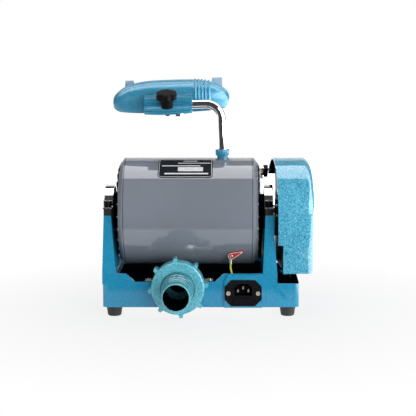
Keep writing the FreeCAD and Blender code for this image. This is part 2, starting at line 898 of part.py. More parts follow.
    # Screw holes for the straps, for the duct's strap and for the feet
    strap_holes = new_sketch(body, "XY", S.axis_height + 1)
    for x in (-S.arm_offset, S.arm_offset):
        for y in (-D.strap_screw_y, D.strap_screw_y):
            circle(strap_holes, x, y, S.strap_screw_radius + S.fit_clearance)
    pocket(body, strap_holes, S.strap_screw_depth + 2)
    land_holes = new_sketch(body, "XY", D.lip_height + 1)
    for x in (middle - D.clamp_screw_x, middle + D.clamp_screw_x):
        circle(land_holes, x, -S.base_rear + S.saddle_depth / 2,
               S.pan_screw_radius + S.fit_clearance)
    pocket(body, land_holes, S.base_wall + 6)
    holes = new_sketch(body, "XY", -1)
    for x, y in FEET:
        circle(holes, x, y, S.foot_screw_radius + S.fit_clearance)
    pocket(body, holes, S.foot_screw_reach + 2, backwards=True)
    return body


def base_bottom_plate():
    """Sheet closing the underside of the base, held by the feet."""
    body = new_body("base_bottom_plate", BASE)
    gap = S.base_wall + S.seat_clearance
    sheet_outline = rectangle(
        -S.base_left + gap, S.base_right - gap, -S.base_rear + gap, S.base_front - gap
    )
    sketch = outline(new_sketch(body, "XY"), sheet_outline)
    for x, y in FEET:
        circle(sketch, x, y, S.foot_screw_radius + S.fit_clearance)
    pad(body, sketch, S.plate_thickness)
    return body


def feet():
    """Four tapered rubber feet with a recess for their screws, and the screws."""
    floor = -S.foot_height
    seat = floor + S.foot_recess_depth
    hole = S.foot_screw_radius + S.fit_clearance
    corners = [
        (hole, 0), (hole, seat), (S.foot_recess_radius, seat), (S.foot_recess_radius, floor),
        (S.foot_bottom_radius - S.foot_rounding, floor, S.foot_rounding, 1),
        (S.foot_bottom_radius, floor + S.foot_rounding), (S.foot_top_radius, 0),
    ]
    rubber = []
    screws = []
    for x, y in FEET:
        rubber.append(turned_piece("foot", Frame("").at(x=x, y=y), corners, "V_Axis"))
        place = dict(x=x, y=y, z=seat, roll=180)
        screws.append(screw(
            S.foot_screw_head_radius, S.foot_screw_head_height, S.foot_screw_radius,
            S.foot_height - S.foot_recess_depth + S.foot_screw_reach, place, "cross",
        ))
    group("rubber_feet", BASE, rubber)
    group("foot_screws", BASE, screws)


def motor_shell():
    """Rolled steel shell with a hole on top for the lamp socket and one for the earth screw."""
    half = S.shell_length / 2
    body = turned("motor_shell", MOTOR, rectangle(-half, half, D.shell_bore, S.shell_radius))
    hole = circle(new_sketch(body, "XY", S.shell_radius / 2), S.post_x, 0,
                  S.socket_neck_radius + 0.6)
    pocket(body, hole, S.shell_radius, backwards=True)
    return body


def bolt_places():
    """The four through bolts' places round the motor's axis."""
    places = []
    for quarter in range(4):
        angle = S.bolt_angle + 90 * quarter
        places.append((S.bolt_circle * cosine(angle), S.bolt_circle * sine(angle)))
    return places


def end_bell(label, frame, side):
    """A domed end bell with radial ribs, vent windows and a hub for bearing and ring. The left
    bell (side -1) has its windows and bolts mirrored, so that both bells line up."""
    body = new_body(label, frame)
    spigot = D.shell_bore - S.fit_clearance
    inner = spigot - S.bell_wall
    face = S.bell_depth
    shoulder_back = S.bell_shoulder_radius - S.bell_wall
    profile = [
        (-S.bell_spigot, inner), (-S.bell_spigot, spigot), (0, spigot), (0, S.shell_radius),
        (S.bell_rim, S.shell_radius, 1.6 * (S.shell_radius - S.bell_shoulder_radius), -1),
        (face, S.bell_shoulder_radius), (face, S.hub_radius), (S.hub_reach, S.hub_radius),
        (S.hub_reach, S.hub_mouth_radius), (S.hub_reach - S.bearing_inset, S.hub_mouth_radius),
        (S.hub_reach - S.bearing_inset, S.bearing_radius),
        (D.bearing_start, S.bearing_radius), (D.bearing_start, S.bearing_radius - 3),
        (face - S.bell_wall, S.bearing_radius - 3), (face - S.bell_wall, shoulder_back),
        (-1, inner - 1), (-1, inner),
    ]
    revolve(body, outline(new_sketch(body, "XZ"), profile))
    # Vent windows, each between two ribs
    half_pitch = as_size(180) / S.rib_count * side
    window = [turn(x, z, half_pitch) for x, z in rectangle(
        -S.window_width / 2, S.window_width / 2, S.window_inner_radius, S.window_outer_radius
    )]
    vent = pocket(body, outline(new_sketch(body, "YZ", face + 1), window), S.bell_wall + 6)
    around(body, [vent], "X", S.window_count)
    # Ribs that stand on the dome and end at its rim
    top = face + S.rib_rise
    rib = [
        (face - 1, S.rib_inner_radius), (top, S.rib_inner_radius + S.rib_rise),
        (top, S.bell_shoulder_radius), (top - 3, S.bell_shoulder_radius + 6),
        (S.bell_rim, S.shell_radius - 0.5), (0.4, S.shell_radius - 0.5), (0.4, inner),
        (face - 2, S.bell_shoulder_radius - 1),
    ]
    rib_pad = pad(body, outline(new_sketch(body, "XZ"), rib), S.rib_thickness, middle=True)
    around(body, [rib_pad], "X", S.rib_count)
    # Flat seats and holes for the through bolts
    seats = new_sketch(body, "YZ", top + 1)
    holes = new_sketch(body, "YZ", top + 1)
    for y, z in bolt_places():
        circle(seats, side * y, z, S.bolt_head_radius + 0.8)
        circle(holes, side * y, z, S.bolt_radius + S.fit_clearance)
    pocket(body, seats, top + 1 - S.bell_rim)
    pocket(body, holes, top + 2 + S.bell_spigot)
    return body


def bearing(label, frame):
    """Sealed ball bearing: two races with a recessed shield between them."""
    start = D.bearing_start
    stop = start + S.bearing_width
    bore = S.journal_radius + S.fit_clearance
    rim = S.bearing_radius - S.fit_clearance
    recess = S.shield_recess
    corners = [
        (start, bore), (start, bore + S.race_wall), (start + recess, bore + S.race_wall),
        (start + recess, rim - S.race_wall), (start, rim - S.race_wall), (start, rim),
        (stop, rim), (stop, rim - S.race_wall), (stop - recess, rim - S.race_wall),
        (stop - recess, bore + S.race_wall), (stop, bore + S.race_wall), (stop, bore),
    ]
    return turned(label, frame, corners)


def resilient_ring(label, frame):
    """Rubber ring between the hub and the cradle, with a groove in each face."""
    middle = S.arm_offset - S.shell_length / 2
    start = middle - S.ring_width / 2
    stop = middle + S.ring_width / 2
    inside = S.hub_radius + S.fit_clearance
    outside = S.ring_radius
    low = inside + (outside - inside) / 3
    high = outside - (outside - inside) / 3
    corners = [
        (start, inside), (start, low), (start + S.ring_groove, low),
        (start + S.ring_groove, high), (start, high), (start, outside), (stop, outside),
        (stop, high), (stop - S.ring_groove, high), (stop - S.ring_groove, low),
        (stop, low), (stop, inside),
    ]
    return turned(label, frame, corners)


def ring_strap(side, sign):
    """One steel strap over a resilient ring, with a foot at each end."""
    frame = BASE.at(x=sign * S.arm_offset)
    inner = S.ring_radius + S.fit_clearance
    outer = inner + S.strap_thickness
    low = S.pad_height
    high = low + S.strap_thickness
    inner_y = root(inner * inner - low * low)
    outer_y = root(outer * outer - high * high)
    tip = D.strap_screw_y + S.pad_length / 2 - 0.5
    strap = new_body("strap_" + side, frame.at(z=S.axis_height))
    arch = [
        (-tip, low), (-inner_y, low, inner, -1), (0, inner, inner, -1), (inner_y, low),
        (tip, low), (tip, high), (outer_y, high, outer, 1), (0, outer, outer, 1),
        (-outer_y, high), (-tip, high),
    ]
    pad(strap, outline(new_sketch(strap, "YZ"), arch), S.strap_width, middle=True)
    holes = new_sketch(strap, "XY", low - 1)
    for y in (-D.strap_screw_y, D.strap_screw_y):
        circle(holes, 0, y, S.strap_screw_radius + S.fit_clearance)
    pocket(strap, holes, S.strap_thickness + 2, backwards=True)


def strap_fixings():
    """The rubber blocks under the straps' feet and the cap screws through them."""
    pads = []
    screws = []
    hole = S.strap_screw_radius + S.fit_clearance
    for x in (-S.arm_offset, S.arm_offset):
        for y in (-D.strap_screw_y, D.strap_screw_y):
            block = box(
                S.arm_top_thickness, S.pad_length, S.pad_height,
                x=x - S.arm_top_thickness / 2, y=y - S.pad_length / 2, z=S.axis_height,
            )
            bore = cylinder(hole, S.pad_height + 2, x=x, y=y, z=S.axis_height - 1)
            pads.append(cut_from(block, bore))
            screws.append(screw(
                S.strap_head_radius, S.strap_head_height, S.strap_screw_radius,
                S.strap_thickness + S.pad_height + S.strap_screw_depth,
                dict(x=x, y=y, z=D.pad_top + S.strap_thickness),
            ))
    group("strap_pads", BASE, pads)
    group("strap_screws", BASE, screws)


def stator_core():
    """Laminated stack with slots open to the bore and holes for the through bolts."""
    body = new_body("stator_core", MOTOR)
    half = S.stator_length / 2
    ring = rectangle(-half, half, S.stator_bore, D.shell_bore - S.fit_clearance)
    revolve(body, outline(new_sketch(body, "XZ"), ring))
    slot = rectangle(
        -S.slot_width / 2, S.slot_width / 2, S.stator_bore - 1, S.stator_bore + S.slot_depth
    )
    tool = pocket(body, outline(new_sketch(body, "YZ"), slot), S.stator_length + 2, middle=True)
    around(body, [tool], "X", S.slot_count)
    holes = new_sketch(body, "YZ")
    for y, z in bolt_places():
        circle(holes, y, z, S.bolt_radius + S.fit_clearance)
    pocket(body, holes, S.stator_length + 2, middle=True)
    return body


def stator_windings():
    """The two wound coil heads, one on each face of the core."""
    heads = []
    for sign in (-1, 1):
        start = S.stator_length / 2 if sign > 0 else -S.stator_length / 2 - S.winding_length
        outside = cylinder(S.winding_outer, S.winding_length, x=start, pitch=90)
        inside = cylinder(S.winding_inner, S.winding_length, x=start, pitch=90)
        heads.append(cut_from(outside, inside))
    return group("stator_windings", MOTOR, heads)


def through_bolts():
    """Four long bolts that hold the bells on the shell, with a nut at the far end."""
    bolts = []
    seat = S.shell_length / 2 + S.bell_rim
    for y, z in bolt_places():
        head = cylinder(S.bolt_head_radius, S.bolt_head_height, x=seat, y=y, z=z, pitch=90)
        shank = cylinder(S.bolt_radius, 2 * seat, x=-seat, y=y, z=z, pitch=90)
        nut = prism(2 * S.bolt_head_radius - 0.6, S.bolt_head_height,
                    x=-seat - S.bolt_head_height, y=y, z=z, pitch=90)
        bolts.append(fuse(head, shank, nut))
    return group("through_bolts", MOTOR, bolts)


def rotor_pieces():
    """The shaft, the rotor core, the wheel between its flanges and the arbor nut."""
    reach = S.shell_length / 2
    shoulder = D.wheel_start - S.flange_thickness
    nut_start = D.wheel_stop + S.flange_thickness
    end = nut_start + S.arbor_nut_height + S.arbor_end
    journal = S.journal_radius
    inside = reach + D.bearing_start
    outer_end = reach + S.hub_reach - S.bearing_inset
    body_radius = S.shaft_radius
    turned("shaft", MOTOR, [
        (-outer_end, 0), (-outer_end, journal), (-inside, journal), (-inside, body_radius),
        (inside, body_radius), (inside, journal), (shoulder, journal),
        (shoulder, S.arbor_radius), (end - 1, S.arbor_radius), (end, S.arbor_radius - 1),
        (end, 0),
    ])
    half = S.stator_length / 2
    rim = S.stator_bore - S.air_gap
    ring = S.end_ring_length
    turned("rotor_core", MOTOR, [
        (-half - ring, S.shaft_radius), (-half - ring, S.end_ring_radius),
        (-half, S.end_ring_radius), (-half, rim), (half, rim), (half, S.end_ring_radius),
        (half + ring, S.end_ring_radius), (half + ring, S.shaft_radius),
    ])
    bore = S.arbor_radius
    relief = S.flange_relief
    flange_mid = S.flange_radius - 6
    turned("inner_flange", MOTOR, [
        (shoulder, bore), (shoulder, S.flange_radius - 1),
        (shoulder + 1, S.flange_radius), (D.wheel_start, S.flange_radius),
        (D.wheel_start, flange_mid), (D.wheel_start - relief, flange_mid),
        (D.wheel_start - relief, bore),
    ])
    turned("outer_flange", MOTOR, [
        (D.wheel_stop + relief, bore), (D.wheel_stop + relief, flange_mid),
        (D.wheel_stop, flange_mid), (D.wheel_stop, S.flange_radius),
        (nut_start - 1, S.flange_radius), (nut_start, S.flange_radius - 1), (nut_start, bore),
    ])
    bush = turned_piece("wheel_bush", Frame("").at(), rectangle(
        D.wheel_start, D.wheel_stop, bore, S.wheel_bush_radius))
    grit = turned_piece("wheel_grit", Frame("").at(), [
        (D.wheel_start, S.wheel_bush_radius), (D.wheel_start, S.wheel_radius - 1.5),
        (D.wheel_start + 1.5, S.wheel_radius), (D.wheel_stop - 1.5, S.wheel_radius),
        (D.wheel_stop, S.wheel_radius - 1.5), (D.wheel_stop, S.wheel_bush_radius),
    ])
    group("grinding_wheel", MOTOR, [grit, bush])
    nut = new_body("arbor_nut", MOTOR.at(x=nut_start, pitch=90))
    hexagon = []
    across = S.arbor_nut_width / root(3)
    for corner in range(6):
        hexagon.append((across * cosine(60 * corner), across * sine(60 * corner)))
    sketch = outline(new_sketch(nut, "XY"), hexagon)
    circle(sketch, 0, 0, bore)
    pad(nut, sketch, S.arbor_nut_height)


def guard_shell():
    """Cast hood over the wheel: an arch with a rounded outer corner, a straight rear wall, a
    side wall and two lugs for the eye shield's hinge."""
    body = new_body("guard_shell", GUARD)
    wall = S.guard_wall
    radius = S.guard_radius
    width = S.guard_width
    corner = S.guard_corner
    inner = corner - wall
    section = [
        (0, radius), (0, radius - wall), (width - corner, radius - wall, inner, -1),
        (width - wall, radius - corner), (width - wall, 0), (width, 0),
        (width, radius - corner, corner, 1), (width - corner, radius),
    ]
    # The arch, from straight back over the top to its front edge
    arch_sketch = outline(new_sketch(body, "XZ"), section)
    arch = revolve(body, arch_sketch, "H_Axis", S.guard_front_angle)
    arch.Reversed = True
    back_sketch = outline(new_sketch(body, "XZ"), section)
    revolve(body, back_sketch, "H_Axis", 90)
    # The straight rear wall below the axis
    flat = [(x, -y) + tuple(rest) for x, y, *rest in section]
    turned_round = []
    for point in flat:
        if len(point) == 4:
            turned_round.append((point[0], point[1], point[2], -point[3]))
        else:
            turned_round.append(point)
    rear = outline(new_sketch(body, "XY"), turned_round)
    pad(body, rear, S.guard_drop, backwards=True)
    # The side wall in front, cut back towards its foot
    front = S.guard_radius * sine(S.guard_front_angle)
    rise = S.guard_radius * cosine(S.guard_front_angle)
    side = [
        (0, -S.guard_drop), (S.guard_side_foot, -S.guard_drop), (front, -S.guard_side_drop),
        (front, rise), (0, 0.5), (-1, 0.5), (-1, -S.guard_drop),
    ]
    side_sketch = outline(new_sketch(body, "YZ", width - wall), side)
    pad(body, side_sketch, wall)
    # Step in the inner edge of the rear wall
    notch = rectangle(-1, S.guard_notch, -S.guard_drop - 1, -S.guard_notch_drop)
    pocket(body, outline(new_sketch(body, "XZ", radius + 1), notch), corner + wall)
    # Lugs for the hinge bar
    y = D.hinge_radius * sine(D.hinge_angle)
    z = D.hinge_radius * cosine(D.hinge_angle)
    for start in (S.shield_lug_inset, width - S.shield_lug_inset - 2 * S.shield_lug_width):
        lug = new_sketch(body, "YZ", start)
        circle(lug, y, z, S.shield_lug_radius)
        pad(body, lug, S.shield_lug_width)
    hole = new_sketch(body, "YZ", -1)
    circle(hole, y, z, S.shield_bar_radius + S.fit_clearance)
    pocket(body, hole, width, backwards=True)
    return body


def guard_back_plate():
    """Flat plate that closes the guard towards the motor."""
    body = new_body("guard_back_plate", GUARD)
    inside = S.guard_radius - S.guard_wall - S.seat_clearance
    front = S.back_plate_front
    top = root(inside * inside - front * front)
    corners = [
        (-inside, -S.back_plate_drop), (front, -S.back_plate_drop), (front, top, inside, 1),
        (0, inside, inside, 1), (-inside, 0),
    ]
    sketch = outline(new_sketch(body, "YZ", S.back_plate_inset), corners)
    circle(sketch, 0, 0, S.hub_mouth_radius + 3)
    y = D.bracket_y / cosine(S.guard_yaw) - S.back_plate_inset * tangent(S.guard_yaw)
    for drop in D.guard_screw_drops:
        circle(sketch, y, drop, S.guard_screw_radius + 0.1)
    pad(body, sketch, S.back_plate_thickness)
    return body


def guard_bracket():
    """Wedge between the right arm's boss and the guard's yawed back plate, and its screws."""
    body = new_body("guard_bracket", BASE)
    y0 = D.bracket_y - S.guard_boss_width / 2
    y1 = D.bracket_y + S.guard_boss_width / 2
    slope = tangent(S.guard_yaw)
    corners = [
        (D.boss_outside, y0), (D.plate_x - y0 * slope, y0), (D.plate_x - y1 * slope, y1),
        (D.boss_outside, y1),
    ]
    low = S.axis_height - S.guard_boss_height
    pad(body, outline(new_sketch(body, "XY", low), corners), S.bracket_height)
    holes = new_sketch(body, "YZ", D.boss_outside - 1)
    screws = []
    face = S.back_plate_thickness
    for drop in D.guard_screw_drops:
        circle(holes, D.bracket_y - 0.2, S.axis_height + drop, S.guard_screw_radius + 0.6)
        place = dict(
            x=D.plate_x - D.bracket_y * slope + face * cosine(S.guard_yaw),
            y=D.bracket_y + face * sine(S.guard_yaw),
            z=S.axis_height + drop, yaw=S.guard_yaw, pitch=90,
        )
        screws.append(screw(
            S.guard_screw_head_radius, S.guard_screw_head_height, S.guard_screw_radius,
            S.guard_screw_reach, place,
        ))
    pocket(body, holes, 3 * S.guard_boss_width, backwards=True)
    group("guard_screws", BASE, screws)


def eye_shield():
    """Clear shield on a hinge bar along the guard's front edge, with its clips and nut."""
    y = D.hinge_radius * sine(D.hinge_angle)
    z = D.hinge_radius * cosine(D.hinge_angle)
    frame = GUARD.at(y=y, z=z, roll=S.shield_lean)
    bar = cylinder(
        S.shield_bar_radius, S.guard_width + 2 * S.shield_bar_overhang - 6,
        x=-S.shield_bar_overhang, pitch=90,
    )
    group("shield_hinge_bar", frame, [bar])
    clips = []
    top = -S.shield_lug_radius - S.shield_gap
    left = -S.shield_clip_width - 1.0
    right = S.guard_width + 1.0
    for start in (left, right):
        block = box(
            S.shield_clip_width, S.shield_clip_depth, S.shield_clip_length,
            x=start, y=-S.shield_clip_depth / 2, z=-S.shield_clip_length + 4.5,
        )
        bore = cylinder(S.shield_bar_radius, S.shield_clip_width + 2, x=start - 1, pitch=90)
        slot = box(
            S.shield_clip_width + 2, S.shield_pane + 0.1, S.shield_clip_length,
            x=start - 1, y=-S.shield_pane / 2 - 0.05, z=top - S.shield_clip_length,
        )
        clips.append(cut_from(cut_from(block, bore), slot))
    group("shield_clips", frame, clips)
    pane = new_body("eye_shield_pane", frame)
    outline_points = rounded(
        left, right + S.shield_clip_width, top - S.shield_length, top, S.shield_corner
    )
    sheet_sketch = outline(new_sketch(pane, "XZ"), outline_points)
    pad(pane, sheet_sketch, S.shield_pane, middle=True)
    nut = turned("shield_nut", frame.at(x=left - S.shield_nut_length, z=-S.shield_nut_drop), [
        (0, 0), (0, S.shield_nut_radius - 1), (1, S.shield_nut_radius),
        (S.shield_nut_length - 1, S.shield_nut_radius),
        (S.shield_nut_length, S.shield_nut_radius - 1), (S.shield_nut_length, 0),
    ])
    return nut


def suction_pieces():
    """Duct through the rear wall, its strap, the lugged union nut and the barbed nozzle."""
    duct = new_body("suction_duct", SUCTION)
    radius = S.duct_radius
    bore = radius - S.duct_wall
    depth = S.duct_depth
    revolve(duct, outline(new_sketch(duct, "XZ"), [
        (0, -depth), (radius, -depth), (radius, S.duct_thread_start),
        (S.duct_thread_radius, S.duct_thread_start), (S.duct_thread_radius, S.duct_reach),
        (bore, S.duct_reach), (bore, -depth + S.duct_wall), (0, -depth + S.duct_wall),
    ]), "V_Axis")
    window = rectangle(-bore * 0.7, bore * 0.7, -depth + S.duct_wall, -S.saddle_depth - 6)
    pocket(duct, outline(new_sketch(duct, "XZ", 0), window), S.duct_radius + 1)
    # Omega strap over the duct, its feet on the land
    strap = new_body("suction_strap", SUCTION)
    land = D.lip_height - S.duct_height
    inner = S.duct_radius + S.fit_clearance
    thick = S.clamp_strap_thickness
    outer = inner + thick
    inner_x = root(inner * inner - land * land)
    outer_x = root(outer * outer - (land + thick) * (land + thick))
    half = S.saddle_width / 2
    left = S.saddle_offset - half
    right = S.saddle_offset + half
    arch = [
        (left, land), (-inner_x, land, inner, -1), (0, inner, inner, -1), (inner_x, land),
        (right, land), (right, land + thick), (outer_x, land + thick, outer, 1),
        (0, outer, outer, 1), (-outer_x, land + thick), (left, land + thick),
    ]
    middle = -S.saddle_depth / 2 - S.clamp_strap_width / 2
    pad(strap, outline(new_sketch(strap, "XY", middle), arch), S.clamp_strap_width)
    holes = new_sketch(strap, "XZ", -land - thick - 1)
    for x in (left + S.clamp_screw_inset, right - S.clamp_screw_inset):
        circle(holes, x, -S.saddle_depth / 2, S.pan_screw_radius + S.fit_clearance)
    pocket(strap, holes, thick + 2, backwards=True)
    # Union nut with eight grip lugs
    start = D.nut_start
    stop = D.nut_stop
    thread = S.duct_thread_radius + S.seat_clearance
    hole = S.nozzle_root_radius + S.seat_clearance
    nut = new_body("hose_nut", SUCTION.at(yaw=S.nut_turn))
    revolve(nut, outline(new_sketch(nut, "XZ"), [
        (thread, start), (S.nut_radius, start), (S.nut_radius, stop - S.nut_rounding,
                                                 S.nut_rounding, 1),
        (S.nut_radius - S.nut_rounding, stop), (hole, stop), (hole, stop - S.nut_face),
        (thread, stop - S.nut_face),
    ]), "V_Axis")
    tip = S.nut_radius + S.nut_lug_height
    lug = [
        (-S.nut_lug_base / 2, S.nut_radius - 2), (S.nut_lug_base / 2, S.nut_radius - 2),
        (S.nut_lug_base / 2, S.nut_radius), (S.nut_lug_tip / 2, tip), (-S.nut_lug_tip / 2, tip),
        (-S.nut_lug_base / 2, S.nut_radius),
    ]
    lug_sketch = outline(new_sketch(nut, "XY", start), lug)
    lug_pad = pad(nut, lug_sketch, S.nut_length - S.nut_rounding)
    around(nut, [lug_pad], "Z", S.nut_lug_count)
    # Nozzle: flange in the nut, smooth root, barbs and a plain tip
    flange_start = S.duct_reach
    flange_stop = flange_start + S.nozzle_flange
    root_stop = stop + S.nozzle_root_length
    corners = [
        (S.nozzle_bore, flange_start), (S.duct_thread_radius - 0.4, flange_start),
        (S.duct_thread_radius - 0.4, flange_stop), (S.nozzle_root_radius, flange_stop),
        (S.nozzle_root_radius, root_stop),
    ]
    position = root_stop
    crest = S.nozzle_barb_radius
    for barb in range(5):
        corners.append((crest - S.nozzle_barb_step, position))
        corners.append((crest - S.nozzle_barb_step, position + 2))
        corners.append((crest, position + 2))
        position = position + S.nozzle_barb_length
        crest = crest - S.nozzle_barb_taper
    corners.append((S.nozzle_tip_radius, position))
    corners.append((S.nozzle_tip_radius, position + S.nozzle_tip_length))
    corners.append((S.nozzle_bore, position + S.nozzle_tip_length))
    nozzle = new_body("hose_nozzle", SUCTION)
    revolve(nozzle, outline(new_sketch(nozzle, "XZ"), corners), "V_Axis")


def inlet_pieces():
    """Appliance inlet with three pins, a fuse drawer with its fuses, and two screws."""
    frame = BASE.at(x=S.inlet_x, y=-D.inlet_face, z=S.inlet_height)
    body = new_body("inlet_body", frame)
    half = S.inlet_width / 2
    tall = S.inlet_tall / 2
    cut_corner = S.inlet_corner
    flange = [
        (-half, -tall + cut_corner), (-half + cut_corner, -tall), (half - cut_corner, -tall),
        (half, -tall + cut_corner), (half, tall - cut_corner), (half - cut_corner, tall),
        (-half + cut_corner, tall), (-half, tall - cut_corner),
    ]
    pad(body, outline(new_sketch(body, "XZ"), flange), S.inlet_flange)
    block = rectangle(-S.inlet_body_width / 2, S.inlet_body_width / 2,
                      -S.inlet_body_tall / 2, S.inlet_body_tall / 2)
    pad(body, outline(new_sketch(body, "XZ"), block), S.inlet_body_depth, backwards=True)
    # Socket with two clipped upper corners
    w = S.socket_width / 2
    low = S.socket_rise - S.socket_tall / 2
    high = S.socket_rise + S.socket_tall / 2
    c = S.socket_corner
    socket = [(-w, low), (w, low), (w, high - c), (w - c, high), (-w + c, high), (-w, high - c)]
    pocket(body, outline(new_sketch(body, "XZ", S.inlet_flange + 1), socket),
           S.socket_depth + S.inlet_flange + 1)
    # Bay for the fuse drawer
    gap = S.seat_clearance
    bay = rectangle(-S.drawer_width / 2 - gap, S.drawer_width / 2 + gap,
                    -S.drawer_drop - S.drawer_tall / 2 - gap,
                    -S.drawer_drop + S.drawer_tall / 2 + gap)
    pocket(body, outline(new_sketch(body, "XZ", S.inlet_flange + 1), bay),
           S.inlet_flange + 1 + S.drawer_depth + gap)
    holes = new_sketch(body, "XZ", S.inlet_flange + 1)
    for x in (-S.inlet_screw_pitch / 2, S.inlet_screw_pitch / 2):
        circle(holes, x, 0, S.pan_screw_radius + S.fit_clearance)
    pocket(body, holes, S.inlet_flange + 2)
    pins = []
    for x, z in ((-S.pin_pitch, -S.pin_offset), (0, S.pin_offset), (S.pin_pitch, -S.pin_offset)):
        pins.append(box(
            S.pin_thickness, S.pin_reach, S.pin_width,
            x=x - S.pin_thickness / 2,
            y=S.socket_depth - S.pin_reach,
            z=S.socket_rise + z - S.pin_width / 2,
        ))
    group("inlet_pins", frame, pins)
    drawer = new_body("fuse_drawer", frame.at(z=-S.drawer_drop))
    face = rectangle(-S.drawer_width / 2, S.drawer_width / 2,
                     -S.drawer_tall / 2, S.drawer_tall / 2)
    proud = S.inlet_flange + S.drawer_lip
    pad(drawer, outline(new_sketch(drawer, "XZ", -S.drawer_depth), face),
        S.drawer_depth + proud)
    well = rectangle(-S.fuse_length / 2 - 1, S.fuse_length / 2 + 1,
                     -S.drawer_depth + 2, -2)
    pocket(drawer, outline(new_sketch(drawer, "XY", S.drawer_tall / 2 + 1),
                           [(x, -y) for x, y in well]), S.drawer_tall - 0.5)
    fuses = []
    for y in (S.drawer_depth * 0.3, S.drawer_depth * 0.7):
        fuses.append(cylinder(
            S.fuse_radius, S.fuse_length, x=-S.fuse_length / 2,
            y=y, z=-S.drawer_tall / 2 + 1.5 + S.fuse_radius, pitch=90,
        ))
    group("fuses", frame.at(z=-S.drawer_drop), fuses)


def pan_head_screws():
    """Like cross recessed screws: two hold the inlet, two hold the duct's strap."""
    screws = []
    for x in (-S.inlet_screw_pitch / 2, S.inlet_screw_pitch / 2):
        place = dict(
            x=S.inlet_x + x, y=-D.inlet_face - S.inlet_flange, z=S.inlet_height, roll=90
        )
        screws.append(screw(S.pan_head_radius, S.pan_head_height, S.pan_screw_radius,
                            S.inlet_screw_reach, place, "cross"))
    middle = S.duct_x + S.saddle_offset
    for x in (middle - D.clamp_screw_x, middle + D.clamp_screw_x):
        place = dict(
            x=x, y=-S.base_rear + S.saddle_depth / 2, z=D.lip_height + S.clamp_strap_thickness
        )
        screws.append(screw(S.pan_head_radius, S.pan_head_height, S.pan_screw_radius,
                            S.clamp_screw_reach, place, "cross"))
    group("pan_head_screws", BASE, screws)


def switch_pieces():
    """Three position rocker switch in the front wall."""
    frame = BASE.at(x=S.switch_x, y=S.base_front, z=S.switch_height)
    body = new_body("switch_housing", frame)
    flange = rounded(-S.switch_width / 2, S.switch_width / 2, -S.switch_tall / 2,
                     S.switch_tall / 2, S.switch_corner)
    pad(body, outline(new_sketch(body, "XZ"), flange), S.switch_flange, backwards=True)
    block = rectangle(-S.switch_body_width / 2, S.switch_body_width / 2,
                      -S.switch_body_tall / 2, S.switch_body_tall / 2)
    pad(body, outline(new_sketch(body, "XZ"), block), S.switch_body_depth)
    gap = S.rocker_gap
    chord = S.switch_body_width / 2 - 1.5
    bay = rectangle(-chord, chord, -S.rocker_width / 2 - gap, S.rocker_width / 2 + gap)
    pocket(body, outline(new_sketch(body, "XZ", -S.switch_flange - 1), bay),
           S.rocker_radius + S.switch_flange + 1, backwards=True)
    pivots = new_sketch(body, "XY", -S.switch_body_tall / 2 + 0.5)
    circle(pivots, 0, -2, S.rocker_pin_radius + S.fit_clearance)
    pocket(body, pivots, S.switch_body_tall - 1, backwards=True)
    # The rocker's face is a shallow V, its ends swing into the housing
    rocker = new_body("switch_rocker", frame.at(y=-2))
    reach = chord - 1.2
    top = S.rocker_rise + 2
    face = [
        (-reach, 0), (-4, -S.rocker_radius * 0.55), (4, -S.rocker_radius * 0.55), (reach, 0),
        (reach, top + 1.4), (0, top - 0.8), (-reach, top + 1.4),
    ]
    pad(rocker, outline(new_sketch(rocker, "XY"), face), S.rocker_width, middle=True)
    pivot = circle(new_sketch(rocker, "XY"), 0, 0, S.rocker_pin_radius)
    pad(rocker, pivot, S.switch_body_tall - 2, middle=True)


def electrical_pieces():
    """Run capacitor in its clip and the terminal block, inside the base."""
    cavity_top = D.cavity_height
    radius = S.capacitor_radius
    height = cavity_top - radius - S.clip_thickness
    frame = BASE.at(x=S.capacitor_x - S.capacitor_length / 2, y=S.capacitor_y, z=height)
    rim = S.capacitor_rim
    turned("run_capacitor", frame, [
        (0, 0), (0, radius), (S.capacitor_length, radius), (S.capacitor_length, radius - rim),
        (S.capacitor_length - rim, radius - rim), (S.capacitor_length - rim, 0),
    ])
    clip = new_body("capacitor_clip", frame.at(x=S.capacitor_length / 2))
    inner = radius + S.fit_clearance
    outer = inner + S.clip_thickness
    top = radius + S.clip_thickness
    foot = outer + 9
    hoop = [
        (-foot, top - S.clip_thickness), (-foot, top), (foot, top),
        (foot, top - S.clip_thickness), (outer, top - S.clip_thickness), (outer, 0, outer, -1),
        (0, -outer, outer, -1), (-outer, 0), (-outer, top - S.clip_thickness),
    ]
    sketch = outline(new_sketch(clip, "YZ"), hoop)
    circle(sketch, 0, 0, inner - S.fit_clearance / 2)
    pad(clip, sketch, S.clip_width, middle=True)
    block = new_body("terminal_block", BASE.at(x=S.terminal_x, y=S.terminal_y, z=cavity_top))
    plan = rectangle(-S.terminal_length / 2, S.terminal_length / 2,
                     -S.terminal_depth / 2, S.terminal_depth / 2)
    pad(block, outline(new_sketch(block, "XY"), plan), S.terminal_tall, backwards=True)
    wells = new_sketch(block, "XY", -S.terminal_tall - 1)
    for column in range(4):
        for y in (-S.terminal_depth / 4, S.terminal_depth / 4):
            x = -S.terminal_length / 2 + S.terminal_length * (column + 0.5) / 4
            circle(wells, x, y, S.terminal_well_radius)
    pocket(block, wells, S.terminal_well_depth + 1, backwards=True)


